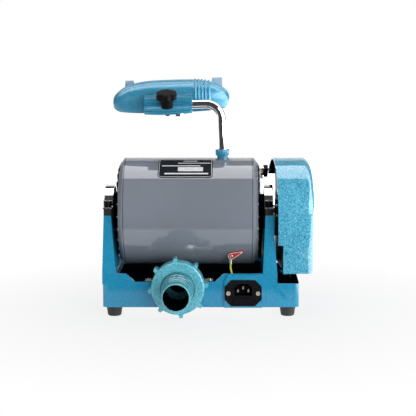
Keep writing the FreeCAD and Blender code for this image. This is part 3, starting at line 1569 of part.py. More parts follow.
def earth_pieces():
    """Earth screw with its cable lug and red tag on the shell, and the wire into the base."""
    frame = MOTOR.at(x=S.earth_x, roll=S.earth_angle).at(y=-S.shell_radius, roll=90)
    thick = S.earth_lug_thickness
    tag_top = S.tag_thickness
    # Ring tongue lug with its barrel bent down, away from the shell
    ring = cylinder(S.earth_lug_radius, thick, z=tag_top)
    tongue = box(2 * S.earth_barrel_radius, S.earth_tongue, thick,
                 x=-S.earth_barrel_radius, y=-S.earth_tongue, z=tag_top)
    barrel = cylinder(
        S.earth_barrel_radius, S.earth_barrel_length, y=-S.earth_tongue + 1.5,
        z=tag_top + S.earth_barrel_radius, roll=90 - S.earth_angle,
    )
    bore = cylinder(S.earth_screw_radius + S.fit_clearance, 3 * thick)
    screw_solid = screw(S.earth_head_radius, S.earth_head_height, S.earth_screw_radius,
                        S.tag_thickness + thick, dict(z=tag_top + thick), "cross")
    group("earth_terminal", frame, [cut_from(fuse(ring, tongue, barrel), bore), screw_solid])
    tag = new_body("earth_tag", frame.at(yaw=S.tag_turn))
    big = S.tag_radius
    small = S.tag_tip_radius
    tail = S.tag_length - big - small
    tag_sketch = outline(new_sketch(tag, "XY"), [
        (0, big, big, 1), (-big, 0, big, 1), (0, -big), (tail, -small, small, 1),
        (tail + small, 0, small, 1), (tail, small),
    ])
    circle(tag_sketch, 0, 0, S.earth_screw_radius + S.fit_clearance)
    pad(tag, tag_sketch, tag_top)


def wire_route():
    """Corner points of the earth wire from its lug down through the deck, in base units."""
    angle = math.radians(S.earth_angle.value)
    out = S.shell_radius.value + S.tag_thickness.value + S.earth_barrel_radius.value
    tangent_way = S.earth_tongue.value - 1.5
    barrel_y = -out * math.cos(angle) + tangent_way * math.sin(angle)
    barrel_z = S.axis_height.value - out * math.sin(angle) - tangent_way * math.cos(angle)
    start = FreeCAD.Vector(S.earth_x.value, barrel_y, barrel_z - S.earth_barrel_length.value)
    hole_x = S.earth_x.value + S.wire_hole_x.value
    hole_y = -S.wire_hole_y.value
    deck = S.deck_height.value
    return [
        start,
        start - FreeCAD.Vector(0, 0, S.wire_drop.value),
        FreeCAD.Vector(hole_x, hole_y, deck + S.wire_drop.value),
        FreeCAD.Vector(hole_x, hole_y, deck - S.wire_tail.value),
    ]


def earth_wire():
    """Round lead along its route, straight runs joined by tangent arcs."""
    points = wire_route()
    edges = []
    radii = []
    here = points[0]
    for index in range(1, len(points) - 1):
        before = points[index] - points[index - 1]
        after = points[index + 1] - points[index]
        turn = before.getAngle(after)
        shorter = min(before.Length, after.Length)
        setback = 0.45 * shorter
        radii.append(setback / math.tan(turn / 2))
        first = points[index] - before.normalize() * setback
        last = points[index] + after.normalize() * setback
        towards_middle = (first + last) / 2 - points[index]
        hypotenuse = math.hypot(radii[-1], setback)
        middle = points[index] + towards_middle.normalize() * (hypotenuse - radii[-1])
        edges.append(Part.LineSegment(here, first).toShape())
        edges.append(Part.Arc(first, middle, last).toShape())
        here = last
    edges.append(Part.LineSegment(here, points[-1]).toShape())
    path = Part.Wire(edges)
    direction = points[1] - points[0]
    section = Part.Wire(Part.makeCircle(S.wire_radius.value, points[0], direction))
    solid = path.makePipeShell([section], True, False)
    print("earth wire arc radii", [round(radius, 1) for radius in radii])
    feature = doc.addObject("Part::Feature", "earth_wire")
    feature.Shape = solid
    return finish(feature, "earth_wire", BASE)


def lamp_stand():
    """Collar on the shell and the bent chrome tube that turns in it."""
    sunk = -S.socket_sink
    neck_top = S.socket_neck_height
    bore = S.tube_radius + S.fit_clearance
    turned("lamp_socket", LAMP, [
        (0, sunk), (S.socket_neck_radius, sunk), (S.socket_neck_radius, neck_top),
        (S.socket_radius, neck_top), (S.socket_radius, S.socket_height - 1),
        (S.socket_radius - 1, S.socket_height), (bore, S.socket_height),
        (bore, 0.4), (0, 0.4),
    ], "V_Axis")
    tube = new_body("lamp_tube", LAMP)
    ring = new_sketch(tube, "XY", S.tube_foot)
    circle(ring, 0, 0, S.tube_radius)
    circle(ring, 0, 0, S.tube_radius - S.tube_wall)
    end = S.clamp_left - S.post_x + S.tube_end_gap
    path = outline(new_sketch(tube, "XZ"), [
        (0, S.tube_foot), (0, S.tube_run - S.tube_bend, S.tube_bend, 1),
        (-S.tube_bend, S.tube_run), (end, S.tube_run),
    ], closed=False)
    sweep = tube.newObject("PartDesign::AdditivePipe", "lamp_tube_pipe")
    sweep.Profile = ring
    sweep.Spine = path
    tube.Tip = sweep


def lamp_clamp():
    """Upper and lower clamp halves round the tube, the knob and the tie nut."""
    length = S.clamp_right - S.clamp_left
    split = S.clamp_split / 2
    thick = S.clamp_flange_thickness
    bore = S.tube_radius + S.fit_clearance
    upper = new_body("lamp_clamp_upper", HEAD)
    groove = S.clamp_groove
    side = [
        (-S.clamp_flange, split), (-bore, split, bore, -1), (0, bore, bore, -1), (bore, split),
        (S.clamp_back, split), (S.clamp_back, S.clamp_top), (-4, S.clamp_top),
        (-S.clamp_front + groove, S.clamp_top - 3), (-S.clamp_front, S.clamp_top - 4),
        (-S.clamp_front, S.clamp_top - 6), (-S.clamp_front + groove, S.clamp_top - 6.6),
        (-S.clamp_front, S.clamp_top - 7.2), (-S.clamp_front, split + thick),
        (-S.clamp_flange, split + thick),
    ]
    pad(upper, outline(new_sketch(upper, "YZ", S.clamp_left), side), length)
    lower = new_body("lamp_clamp_lower", HEAD)
    back = S.clamp_back
    under = [
        (-S.clamp_flange, -split), (-S.clamp_flange, -split - thick),
        (-bore - 2, -split - thick - 1), (-bore + 1, -bore - 3), (bore - 1, -bore - 3),
        (back, -split - thick), (back, -split), (bore, -split, bore, -1), (0, -bore, bore, -1),
        (-bore, -split),
    ]
    pad(lower, outline(new_sketch(lower, "YZ", S.clamp_left), under), length)
    # Curved rear edge of both flanges
    bulge = S.clamp_flange_bulge
    half = length / 2
    edge_radius = (half * half + bulge * bulge) / (2 * bulge)
    centre_x = (S.clamp_left + S.clamp_right) / 2
    outside = S.clamp_flange + 6
    for half_body in (upper, lower):
        trim = new_sketch(half_body, "XY", -20)
        outline(trim, [
            (S.clamp_left - 1, -outside), (S.clamp_left - 1, -S.clamp_flange + bulge),
            (S.clamp_left, -S.clamp_flange + bulge, edge_radius, 1),
            (centre_x, -S.clamp_flange, edge_radius, 1),
            (S.clamp_right, -S.clamp_flange + bulge),
            (S.clamp_right + 1, -S.clamp_flange + bulge), (S.clamp_right + 1, -outside),
        ])
        pocket(half_body, trim, 50, backwards=True)
        holes = circle(new_sketch(half_body, "XY", -20), S.knob_x, -S.knob_y,
                       S.knob_stem_radius + S.fit_clearance)
        pocket(half_body, holes, 50, backwards=True)
    # Knob: lobed head, round neck and a threaded stem through both flanges
    seat = split + thick
    knob = new_body("lamp_knob", HEAD.at(x=S.knob_x, y=-S.knob_y, z=seat + S.fit_clearance))
    head_top = S.knob_neck + S.knob_head
    stem = S.clamp_split + 2 * thick + S.stem_reach
    revolve(knob, outline(new_sketch(knob, "XZ"), [
        (0, -stem), (S.knob_stem_radius, -stem), (S.knob_stem_radius, 0),
        (S.knob_neck_radius - 1, 0), (S.knob_neck_radius, S.knob_neck - 1),
        (S.knob_radius - 1, S.knob_neck), (S.knob_radius, S.knob_neck + 1),
        (S.knob_radius, head_top - 4), (S.knob_radius - 3, head_top - 1.2), (0, head_top),
    ]), "V_Axis")
    scallop = circle(new_sketch(knob, "XY", S.knob_neck - 0.5), S.knob_radius + 2.6, 0,
                     S.knob_scallop)
    bite = pocket(knob, scallop, S.knob_head + 2, backwards=True)
    around(knob, [bite], "Z", S.knob_lobes)
    # Tie nut under the lower half
    low = -bore - 3
    tie = prism(S.tie_nut_width, S.tie_nut_height, x=S.tie_nut_x, z=low - S.tie_nut_height)
    group("clamp_tie_nut", HEAD, [tie])


HOOD_STATIONS = ((0.0, 0.34), (0.03, 0.6), (0.12, 0.84), (0.42, 1.0), (0.78, 0.97),
                 (0.92, 0.8), (0.98, 0.56), (1.0, 0.34))


def hood_section(body, share, scale, shrink):
    """One cross outline of the hood: a flat rim below and two arcs up to the crown."""
    x = S.hood_left + (S.hood_right - S.hood_left) * share
    if share == 0.0:
        x = x + shrink
    if share == 1.0:
        x = x - shrink
    middle = S.hood_crown_y
    rear = middle - (middle - S.hood_rear) * scale + shrink
    front = middle + (S.hood_front - middle) * scale - shrink
    rim = -S.hood_rim
    crown = rim + (S.hood_crown + S.hood_rim) * scale - shrink
    radius = (S.hood_front - S.hood_rear) * scale * 0.72
    return outline(new_sketch(body, "YZ", x), [
        (rear, rim), (front, rim, radius, 1), (middle, crown, radius, 1),
    ])


def lamp_hood():
    """Moulded hood: a smooth loft, hollow from below, with a row of ribs and a boss."""
    body = new_body("lamp_hood", HEAD)
    sections = [hood_section(body, share, scale, as_size(0)) for share, scale in HOOD_STATIONS]
    loft(body, sections, ruled=False)
    boss = rectangle(
        S.clamp_left + 10, S.clamp_left + 10 + S.hood_boss_width,
        -S.hood_boss_tall / 2 + 4, S.hood_boss_tall / 2 + 4,
    )
    pad(body, outline(new_sketch(body, "XZ", -S.clamp_back), boss),
        S.hood_crown_y - S.clamp_back - 12, backwards=True)
    rise = S.hood_rib_rise
    middle = S.hood_crown_y
    radius = (S.hood_front - S.hood_rear) * 0.72
    rib_sketch = outline(new_sketch(body, "YZ", S.hood_rib_x), [
        (S.hood_rear - rise, -S.hood_rim + 4), (S.hood_front, -S.hood_rim + 4, radius, 1),
        (middle, S.hood_crown + rise * 0.6, radius, 1),
    ])
    rib = pad(body, rib_sketch, S.hood_rib_width)
    along(body, [rib], "X", S.hood_rib_pitch, S.hood_rib_count)
    inner = [hood_section(body, share, scale, S.hood_wall) for share, scale in HOOD_STATIONS]
    loft(body, inner, ruled=False, cut=True)
    return body


def lamp_inside():
    """The fluorescent tube, its base block, and the front visor with two ears."""
    frame = HEAD.at(y=S.hood_crown_y, z=-S.bulb_drop)
    bulb = new_body("lamp_bulb", frame)
    ring = new_sketch(bulb, "YZ", S.bulb_x)
    circle(ring, -S.bulb_pitch / 2, 0, S.bulb_radius)
    end = S.bulb_x - S.bulb_length + S.bulb_pitch / 2
    half = S.bulb_pitch / 2
    path = outline(new_sketch(bulb, "XY"), [
        (S.bulb_x, -half), (end, -half, half, -1), (end - half, 0, half, -1), (end, half),
        (S.bulb_x, half),
    ], closed=False)
    sweep = bulb.newObject("PartDesign::AdditivePipe", "lamp_bulb_pipe")
    sweep.Profile = ring
    sweep.Spine = path
    bulb.Tip = sweep
    base = new_body("bulb_base", frame)
    plan = rounded(-S.bulb_base_depth / 2, S.bulb_base_depth / 2, -S.bulb_base_tall / 2,
                   S.bulb_base_tall / 2, S.bulb_base_corner)
    pad(base, outline(new_sketch(base, "YZ", S.bulb_x), plan), S.bulb_base_length)
    # Stem that carries the base block from the hood's roof
    roof = S.hood_crown - S.hood_wall - S.bulb_stem_gap + S.bulb_drop
    stem = rectangle(-S.bulb_stem_width / 2, S.bulb_stem_width / 2,
                     S.bulb_base_tall / 2 - 1, roof)
    pad(base, outline(new_sketch(base, "YZ", S.bulb_x), stem), S.bulb_stem_length)
    visor = new_body("lamp_visor", HEAD)
    rim = -S.hood_rim
    ear = S.ear_width / 2
    taper = S.ear_taper
    top = rim + S.ear_rise
    low = rim + S.visor_tall
    strip = [
        (S.hood_left + 20, rim), (S.hood_right - 14, rim), (S.hood_right - 14, low),
        (S.ear_right + ear, low), (S.ear_right + ear, top), (S.ear_right - ear + taper, top),
        (S.ear_right - ear - taper, low), (S.ear_left + ear + taper, low),
        (S.ear_left + ear - taper, top), (S.ear_left - ear + taper, top),
        (S.ear_left - ear, low), (S.hood_left + 20, low),
    ]
    outside = S.hood_front + S.visor_gap + S.visor_thickness
    plane = outline(new_sketch(visor, "XZ", -outside), strip)
    pad(visor, plane, S.visor_thickness)


base_casting()
base_bottom_plate()
feet()
motor_shell()
end_bell("end_bell_left", LEFT_END, -1)
end_bell("end_bell_right", RIGHT_END, 1)
bearing("bearing_left", LEFT_END)
bearing("bearing_right", RIGHT_END)
resilient_ring("resilient_ring_left", LEFT_END)
resilient_ring("resilient_ring_right", RIGHT_END)
ring_strap("left", -1)
ring_strap("right", 1)
strap_fixings()
stator_core()
stator_windings()
through_bolts()
rotor_pieces()
guard_shell()
guard_back_plate()
guard_bracket()
eye_shield()
suction_pieces()
inlet_pieces()
pan_head_screws()
switch_pieces()
electrical_pieces()
earth_pieces()
earth_wire()
lamp_stand()
lamp_clamp()
lamp_hood()
lamp_inside()
doc.recompute()

problems = []
for thing in doc.Objects:
    if "Invalid" in thing.State or "Error" in thing.State:
        problems.append(f"{thing.Label}: {thing.State}")
for feature in cuts:
    before = feature.BaseFeature
    if before is not None and before.Shape.Volume - feature.Shape.Volume < 1e-3:
        problems.append(f"{feature.Label} cuts nothing")
for part in sub_parts:
    if part.Shape.isNull() or not part.Shape.isValid():
        problems.append(f"{part.Label}: no valid shape")
if problems:
    raise RuntimeError("; ".join(problems))

os.makedirs("parts", exist_ok=True)
for part in sub_parts:
    part.Shape.exportStep(f"parts/{part.Label}.step")
print(len(sub_parts), "sub-parts written")
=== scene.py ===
"""Dental polishing lathe: finishes, moulded pieces, lamp and studio over the machine's frame.

The machine is seen from behind: the motor's axis runs along X, the wheel's end is at +X and the
suction hose leaves towards -Y. Every size is in metres.
"""
import json
import math

import bmesh
import bpy
import numpy as np
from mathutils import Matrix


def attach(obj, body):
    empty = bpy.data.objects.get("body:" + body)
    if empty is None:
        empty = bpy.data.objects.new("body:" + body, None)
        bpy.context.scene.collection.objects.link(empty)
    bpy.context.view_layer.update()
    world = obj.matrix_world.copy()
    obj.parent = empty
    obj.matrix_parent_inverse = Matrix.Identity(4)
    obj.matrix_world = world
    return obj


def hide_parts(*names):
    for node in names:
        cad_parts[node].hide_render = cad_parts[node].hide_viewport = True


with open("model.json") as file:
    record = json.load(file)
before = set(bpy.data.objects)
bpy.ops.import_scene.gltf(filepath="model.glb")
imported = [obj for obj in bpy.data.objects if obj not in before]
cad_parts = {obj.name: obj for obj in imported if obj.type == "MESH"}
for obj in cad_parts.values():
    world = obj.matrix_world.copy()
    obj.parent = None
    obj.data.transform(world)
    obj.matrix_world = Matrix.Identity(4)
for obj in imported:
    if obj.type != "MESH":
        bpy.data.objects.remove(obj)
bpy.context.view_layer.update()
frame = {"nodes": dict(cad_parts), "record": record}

bl_info = {
    "name": "Dental Lathe Dresser",
    "version": (1, 0, 0),
    "blender": (4, 5, 0),
    "location": "View3D > Sidebar > Lathe",
    "description": "Finishes and fine pieces for a bench polishing lathe",
    "category": "Object",
}


# Sizes and colours that can be changed

def length(label, default, note):
    """A distance in metres."""
    return bpy.props.FloatProperty(name=label, description=note, default=default,
                                   unit="LENGTH", precision=5)


def number(label, default, note):
    """A plain number."""
    return bpy.props.FloatProperty(name=label, description=note, default=default, precision=3)


def count(label, default, note):
    """A whole number of like things."""
    return bpy.props.IntProperty(name=label, description=note, default=default, min=1)


def angle(label, degrees, note):
    """An angle, kept in radians."""
    return bpy.props.FloatProperty(name=label, description=note, default=math.radians(degrees),
                                   subtype="ANGLE", unit="ROTATION")


def colour(label, default, note):
    """A linear colour."""
    return bpy.props.FloatVectorProperty(name=label, description=note, default=default, size=3,
                                         subtype="COLOR", min=0.0, max=1.0)


class LatheSizes(bpy.types.PropertyGroup):
    """Sizes of the pieces that are made here."""
    cast_edge: length("Cast edge", 0.0010, "Rounding along the edges of painted castings")
    moulded_edge: length("Moulded edge", 0.0005, "Rounding along the edges of mouldings")
    sheet_edge: length("Sheet edge", 0.0003, "Rounding along the edges of sheet metal")
    shell_radius: length("Motor radius", 0.0750, "Outside radius of the motor's shell")
    shell_length: length("Motor length", 0.1755, "Length of the motor's shell")
    shell_wall: length("Motor wall", 0.0025, "Thickness of the motor's shell")
    lamp_lean: angle("Post lean", 2.0, "How far the lamp's post leans over")
    lamp_tilt: angle("Lamp tilt", 20.0, "How far the lamp's head is tipped")
    hood_left: length("Hood left end", -0.1060, "Left end of the hood from the head's pivot")
    hood_right: length("Hood right end", 0.0590, "Right end of the hood")
    hood_rear: length("Hood rear", 0.0120, "Rear edge of the hood")
    hood_front: length("Hood front", 0.0660, "Front edge of the hood")
    hood_middle: length("Hood crown line", 0.0380, "Where the crown runs, front to back")
    hood_crown: length("Hood crown", 0.0200, "Height of the crown")
    hood_rim: length("Hood rim", 0.0160, "Depth of the rim below the pivot")
    hood_wall: length("Hood wall", 0.0025, "Thickness of the hood")
    hood_end: number("Hood end share", 0.20, "Height of the hood's ends over its middle")
    rim_lift: length("Rim lift", 0.0060, "How far the rim rises towards the hood's two ends")
    rim_turn: length("Rim turn", 0.0110, "Length over which the rim rises there")
    rib_rise: length("Rib rise", 0.0017, "Height of the hood's ribs")
    rib_start: length("First rib", 0.0113, "Middle of the first rib from the pivot")
    rib_pitch: length("Rib pitch", 0.0048, "Distance between two ribs")
    rib_count: count("Ribs", 5, "Number of ribs over the hood")
    band_drop: length("Band crease", 0.0008, "Depth of the crease under the hood's top band")
    knob_radius: length("Knob radius", 0.0150, "Outside radius of the knob's head")
    knob_lobes: count("Knob lobes", 6, "Number of finger hollows round the knob")
    knob_hollow: length("Knob hollow", 0.0024, "Depth of a finger hollow")
    collar_radius: length("Collar radius", 0.0100, "Outside radius of the post's collar")
    collar_height: length("Collar height", 0.0120, "Height of the collar above the shell")
    collar_flutes: count("Collar flutes", 18, "Number of flutes round the collar")
    sleeve_radius: length("Sleeve radius", 0.0052, "Round end of the earth lug's red sleeve")
    sleeve_tip: length("Sleeve tip", 0.0012, "Radius of that sleeve's tip")
    sleeve_reach: length("Sleeve reach", 0.0183, "Distance between the sleeve's two ends")
    sleeve_thickness: length("Sleeve thickness", 0.0012, "Thickness of the sleeve")
    plate_width: length("Plate width", 0.0745, "Width of the rating plate")
    plate_height: length("Plate height", 0.0440, "Height of the rating plate round the shell")
    plate_corner: length("Plate corner", 0.0040, "Corner radius of the rating plate")


class LatheColours(bpy.types.PropertyGroup):
    """Colours of the finishes."""
    paint: colour("Casting paint", (0.003, 0.180, 0.350), "Hammered blue of the base")
    paint_light: colour("Casting flecks", (0.025, 0.320, 0.520), "Lighter flecks in that paint")
    guard: colour("Guard paint", (0.004, 0.160, 0.290), "Hammered blue of the guard")
    guard_light: colour("Guard flecks", (0.150, 0.550, 0.740), "Lighter flecks on the guard")
    hood: colour("Hood blue", (0.006, 0.175, 0.305), "Glossy blue of the hood")
    hood_light: colour("Hood flecks", (0.060, 0.330, 0.510), "Fine flecks in the hood")
    hose: colour("Nozzle blue", (0.030, 0.260, 0.350), "Blue green of the nozzle and its nut")
    hose_light: colour("Nozzle flecks", (0.200, 0.600, 0.700), "Pale flecks in the nozzle")
    enamel: colour("Motor enamel", (0.172, 0.191, 0.227), "Blue grey enamel of the motor")
    steel: colour("Bright steel", (0.66, 0.67, 0.69), "Bright steel")
    chrome: colour("Chrome", (0.80, 0.81, 0.84), "Polished chrome")
    zinc: colour("Zinc", (0.66, 0.61, 0.50), "Yellowish zinc plating")
    black: colour("Black", (0.005, 0.005, 0.006), "Black mouldings")
    red: colour("Red", (0.36, 0.014, 0.016), "Red tag")
    slate: colour("Plate slate", (0.012, 0.014, 0.018), "Dark ground of the rating plate")
    white: colour("White", (0.80, 0.81, 0.82), "White print and mouldings")


class LatheStudio(bpy.types.PropertyGroup):
    """Camera and lights."""
    lens: number("Lens", 103.85, "Focal length in millimetres")
    shift: number("Shift", -0.0577, "Sideways shift of the camera's lens")
    pitch: angle("Camera pitch", 82.7, "Tilt of the camera from straight down")
    front_level: number("Front light", 23.0, "Power of the light beside the camera")
    top_level: number("Top light", 0.5, "Power of the light above")
    right_level: number("Right light", 4.0, "Power of the light on the right")
    left_level: number("Left light", 1.5, "Power of the light on the left")
    fill_level: number("Fill", 0.45, "Even light from all round")
    room_level: number("Room", 0.07, "What gloss shows of the room")
    side_level: number("Room's side", 0.12, "What gloss shows of the room behind on the right")
    top_box: number("Top box", 4.5, "What gloss shows of the box above")
    right_box: number("Right box", 8.0, "What gloss shows of the box on the right")
    left_box: number("Left box", 0.9, "What gloss shows of the box on the left")


# Places on the machine

class Place:
    """An origin and three axes; out() carries points given in them to the machine's frame."""

    def __init__(self, origin, axes=None):
        self.origin = np.array(origin, float)
        self.axes = np.eye(3) if axes is None else axes

    def at(self, x=0.0, y=0.0, z=0.0):
        """The same axes from a shifted origin."""
        return Place(self.out(np.array((x, y, z))), self.axes)

    def turn(self, axis, amount):
        """The same origin with the axes turned about one of them, in radians."""
        cosine, sine = math.cos(amount), math.sin(amount)
        first, second = {"x": (1, 2), "y": (2, 0), "z": (0, 1)}[axis]
        step = np.eye(3)
        step[first, first] = step[second, second] = cosine
        step[first, second], step[second, first] = -sine, sine
        return Place(self.origin, self.axes @ step)

    def out(self, points):
        """Points in this place, in the machine's frame."""
        return np.asarray(points, float) @ self.axes.T + self.origin


MACHINE = Place((-0.0279, 0.0326, 0.0140))
MOTOR = MACHINE.at(z=0.1220)
SUCTION = MACHINE.at(x=-0.0125, y=-0.0780, z=0.0300).turn("x", math.radians(90))
GUARD_TURN = math.radians(4.3)
GUARD = MOTOR.at(x=0.1170).turn("z", GUARD_TURN)
# Box of the deck under the motor, painted dead black as painted shade
DECK = ((-0.150, -0.0443, 0.0459), (0.130, 0.125, 0.0500))
# The dead black of painted shade, on the deck, the bore, the guard's lining and the motor's hubs
PAINTED_SHADE_BLACK = (0.003, 0.004, 0.006, 1.0)
SHARP = math.radians(32.0)
BARB_ROOT = 0.0205
BARB_PITCH = 0.0113
BARBS = 5
PLATE_RISE = math.radians(61.0)
PLATE_SHIFT = 0.0040
PLATE_POINTS = 160
CAMERA = (0.0320, -1.6456, 0.3549)


def lamp_place(sizes):
    """Where the post stands on the shell, leaning."""
    return MOTOR.at(x=0.0470, z=sizes.shell_radius).turn("y", -sizes.lamp_lean)


def head_place(sizes):
    """The lamp head's pivot, on the level run of the tube."""
    return lamp_place(sizes).at(x=-0.0470, z=0.0760).turn("x", sizes.lamp_tilt)


# Shapes

def smooth_step(low, high, value):
    """0 below low, 1 above high and a smooth S between them: 3t^2 - 2t^3."""
    t = np.clip((value - low) / (high - low), 0.0, 1.0)
    return t * t * (3.0 - 2.0 * t)


def softened(profile, radius, steps):
    """A closed outline with each corner C swapped for the curve (1-t)^2 A + 2t(1-t) C + t^2 B,
    A and B being radius away from C on its two sides, or half a side where that is less."""
    profile = np.asarray(profile, float)
    before = np.roll(profile, 1, axis=0) - profile
    after = np.roll(profile, -1, axis=0) - profile
    size_before = np.linalg.norm(before, axis=1, keepdims=True)
    size_after = np.linalg.norm(after, axis=1, keepdims=True)
    start = profile + before / size_before * np.minimum(radius, size_before / 2.001)
    end = profile + after / size_after * np.minimum(radius, size_after / 2.001)
    t = np.linspace(0.0, 1.0, steps)[None, :, None]
    middle = 2 * t * (1 - t) * profile[:, None]
    curve = (1 - t) ** 2 * start[:, None] + middle + t ** 2 * end[:, None]
    return curve.reshape(-1, profile.shape[1])


def rounded_outline(half_width, half_height, corner, steps=8):
    """A rectangle with corners of one radius: each corner's centre plus corner (cos a, sin a),
    a running over its own quarter turn."""
    quarter = np.linspace(0.0, math.pi / 2, steps)
    turns = np.arange(4)[:, None] * math.pi / 2 + quarter[None, :]
    side = np.array(((1, 1), (-1, 1), (-1, -1), (1, -1)), float)
    centre = side * (half_width - corner, half_height - corner)
    arc = np.stack((np.cos(turns), np.sin(turns)), axis=2) * corner
    return (centre[:, None] + arc).reshape(-1, 2)


def evenly(outline, amount):
    """The same closed outline with its points spaced evenly along it."""
    closed = np.vstack((outline, outline[:1]))
    run = np.cumsum(np.linalg.norm(np.diff(closed, axis=0), axis=1))
    run = np.concatenate(((0.0,), run))
    at = np.linspace(0.0, run[-1], amount, endpoint=False)
    return np.stack([np.interp(at, run, part) for part in closed.T], axis=1)


def grid_mesh(name, points, wrap_rows=False, wrap_columns=False):
    """Quads over an (n, m, 3) array of points, joined end to start where a direction wraps."""
    rows, columns = points.shape[:2]
    index = np.arange(rows * columns).reshape(rows, columns)
    if wrap_rows:
        index = np.vstack((index, index[:1]))
    if wrap_columns:
        index = np.hstack((index, index[:, :1]))
    quads = np.stack((index[:-1, :-1], index[1:, :-1], index[1:, 1:], index[:-1, 1:]), axis=-1)
    mesh = bpy.data.meshes.new(name)
    mesh.from_pydata(points.reshape(-1, 3).tolist(), [], quads.reshape(-1, 4).tolist())
    return mesh


def spun(profile, place, steps, swell=None):
    """An outline (r, z) carried round the local z axis: (r cos a, r sin a, z). swell(a, r, z)
    may change r round the turn."""
    profile = np.asarray(profile, float)
    turn = np.arange(steps) * 2 * math.pi / steps
    radius = np.repeat(profile[:, :1], steps, axis=1)
    height = np.repeat(profile[:, 1:], steps, axis=1)
    around = np.broadcast_to(turn, radius.shape)
    if swell is not None:
        radius = swell(around, radius, height)
    return place.out(np.stack((radius * np.cos(around), radius * np.sin(around), height), axis=2))


def rings(outline, steps):
    """A flat outline (x, y) at several sizes and depths: (share x, share y, depth), each step
    giving a share and a depth."""
    return np.array([np.c_[outline * share, np.full(len(outline), depth)]
                     for share, depth in steps])


def tidy_mesh(mesh, reach=2e-6, flatten=False):
    """Merge doubles, drop what has no area, join flat neighbours and face outwards."""
    work = bmesh.new()
    work.from_mesh(mesh)
    bmesh.ops.remove_doubles(work, verts=work.verts, dist=reach)
    bmesh.ops.dissolve_degenerate(work, edges=work.edges, dist=reach)
    if flatten:
        bmesh.ops.dissolve_limit(work, angle_limit=math.radians(0.5), verts=work.verts,
                                 edges=work.edges)
    bmesh.ops.recalc_face_normals(work, faces=work.faces)
    work.to_mesh(mesh)
    work.free()
    return mesh


def add_item(name, data, place=(0.0, 0.0, 0.0), turn=(0.0, 0.0, 0.0)):
    """Put a thing in the scene at a place, turned in radians."""
    item = bpy.data.objects.new(name, data)
    item.location = place
    item.rotation_euler = turn
    bpy.context.scene.collection.objects.link(item)
    return item


def add_piece(mesh, body, slot, nodes=(), crease=35.0, finish=None):
    """Put a mesh in the scene as a piece that rides on a body. It takes its slot's finish unless
    it is given one of its own, and it hides the nodes that it stands for."""
    mesh.shade_smooth()
    mesh.set_sharp_from_angle(angle=math.radians(crease))
    mesh.materials.clear()
    mesh.materials.append(finish or finish_of(slot))
    piece = add_item(mesh.name, mesh)
    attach(piece, body)
    if nodes:
        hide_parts(*nodes)
    return piece


def add_surface(name, points, body, slot, nodes=(), crease=35.0, wrap=(False, True), reach=2e-6):
    """Put a surface over a grid of points in the scene as a piece."""
    return add_piece(tidy_mesh(grid_mesh(name, points, *wrap), reach), body, slot, nodes, crease)


def softened_copies(table, width):
    """Merged copies of solids with their sharp edges rounded; the table gives node, piece and
    body."""
    for node, name, body in table:
        mesh = frame["nodes"][node].data.copy()
        mesh.name = name
        piece = add_piece(tidy_mesh(mesh, flatten=True), body, SLOT_OF[node], [node])
        bevel = piece.modifiers.new("edges", "BEVEL")
        bevel.width = width
        bevel.segments = 3
        bevel.limit_method = "ANGLE"
        bevel.angle_limit = SHARP
        bevel.harden_normals = True
        bevel.miter_outer = "MITER_ARC"


# Finishes

class Wire:
    """A node's output that Python's arithmetic works on; each sum adds one Math node."""

    def __init__(self, finish, socket):
        self.finish = finish
        self.socket = socket

    def maths(self, operation, first, second):
        """One Math node on two values."""
        return self.finish.add("ShaderNodeMath", {"operation": operation}, {0: first, 1: second})

    def __add__(self, other):
        return self.maths("ADD", self, other)

    def __sub__(self, other):
        return self.maths("SUBTRACT", self, other)

    def __rsub__(self, other):
        return self.maths("SUBTRACT", other, self)

    def __mul__(self, other):
        return self.maths("MULTIPLY", self, other)

    def __truediv__(self, other):
        return self.maths("DIVIDE", self, other)

    def __rtruediv__(self, other):
        return self.maths("DIVIDE", other, self)

    def __pow__(self, other):
        return self.maths("POWER", self, other)

    def __rpow__(self, other):
        return self.maths("POWER", other, self)

    def size(self):
        """The value without its sign."""
        return self.maths("ABSOLUTE", self, 0.0)

    def __gt__(self, other):
        return self.maths("GREATER_THAN", self, other)

    def __lt__(self, other):
        return self.maths("LESS_THAN", self, other)

    __radd__ = __add__
    __rmul__ = __mul__


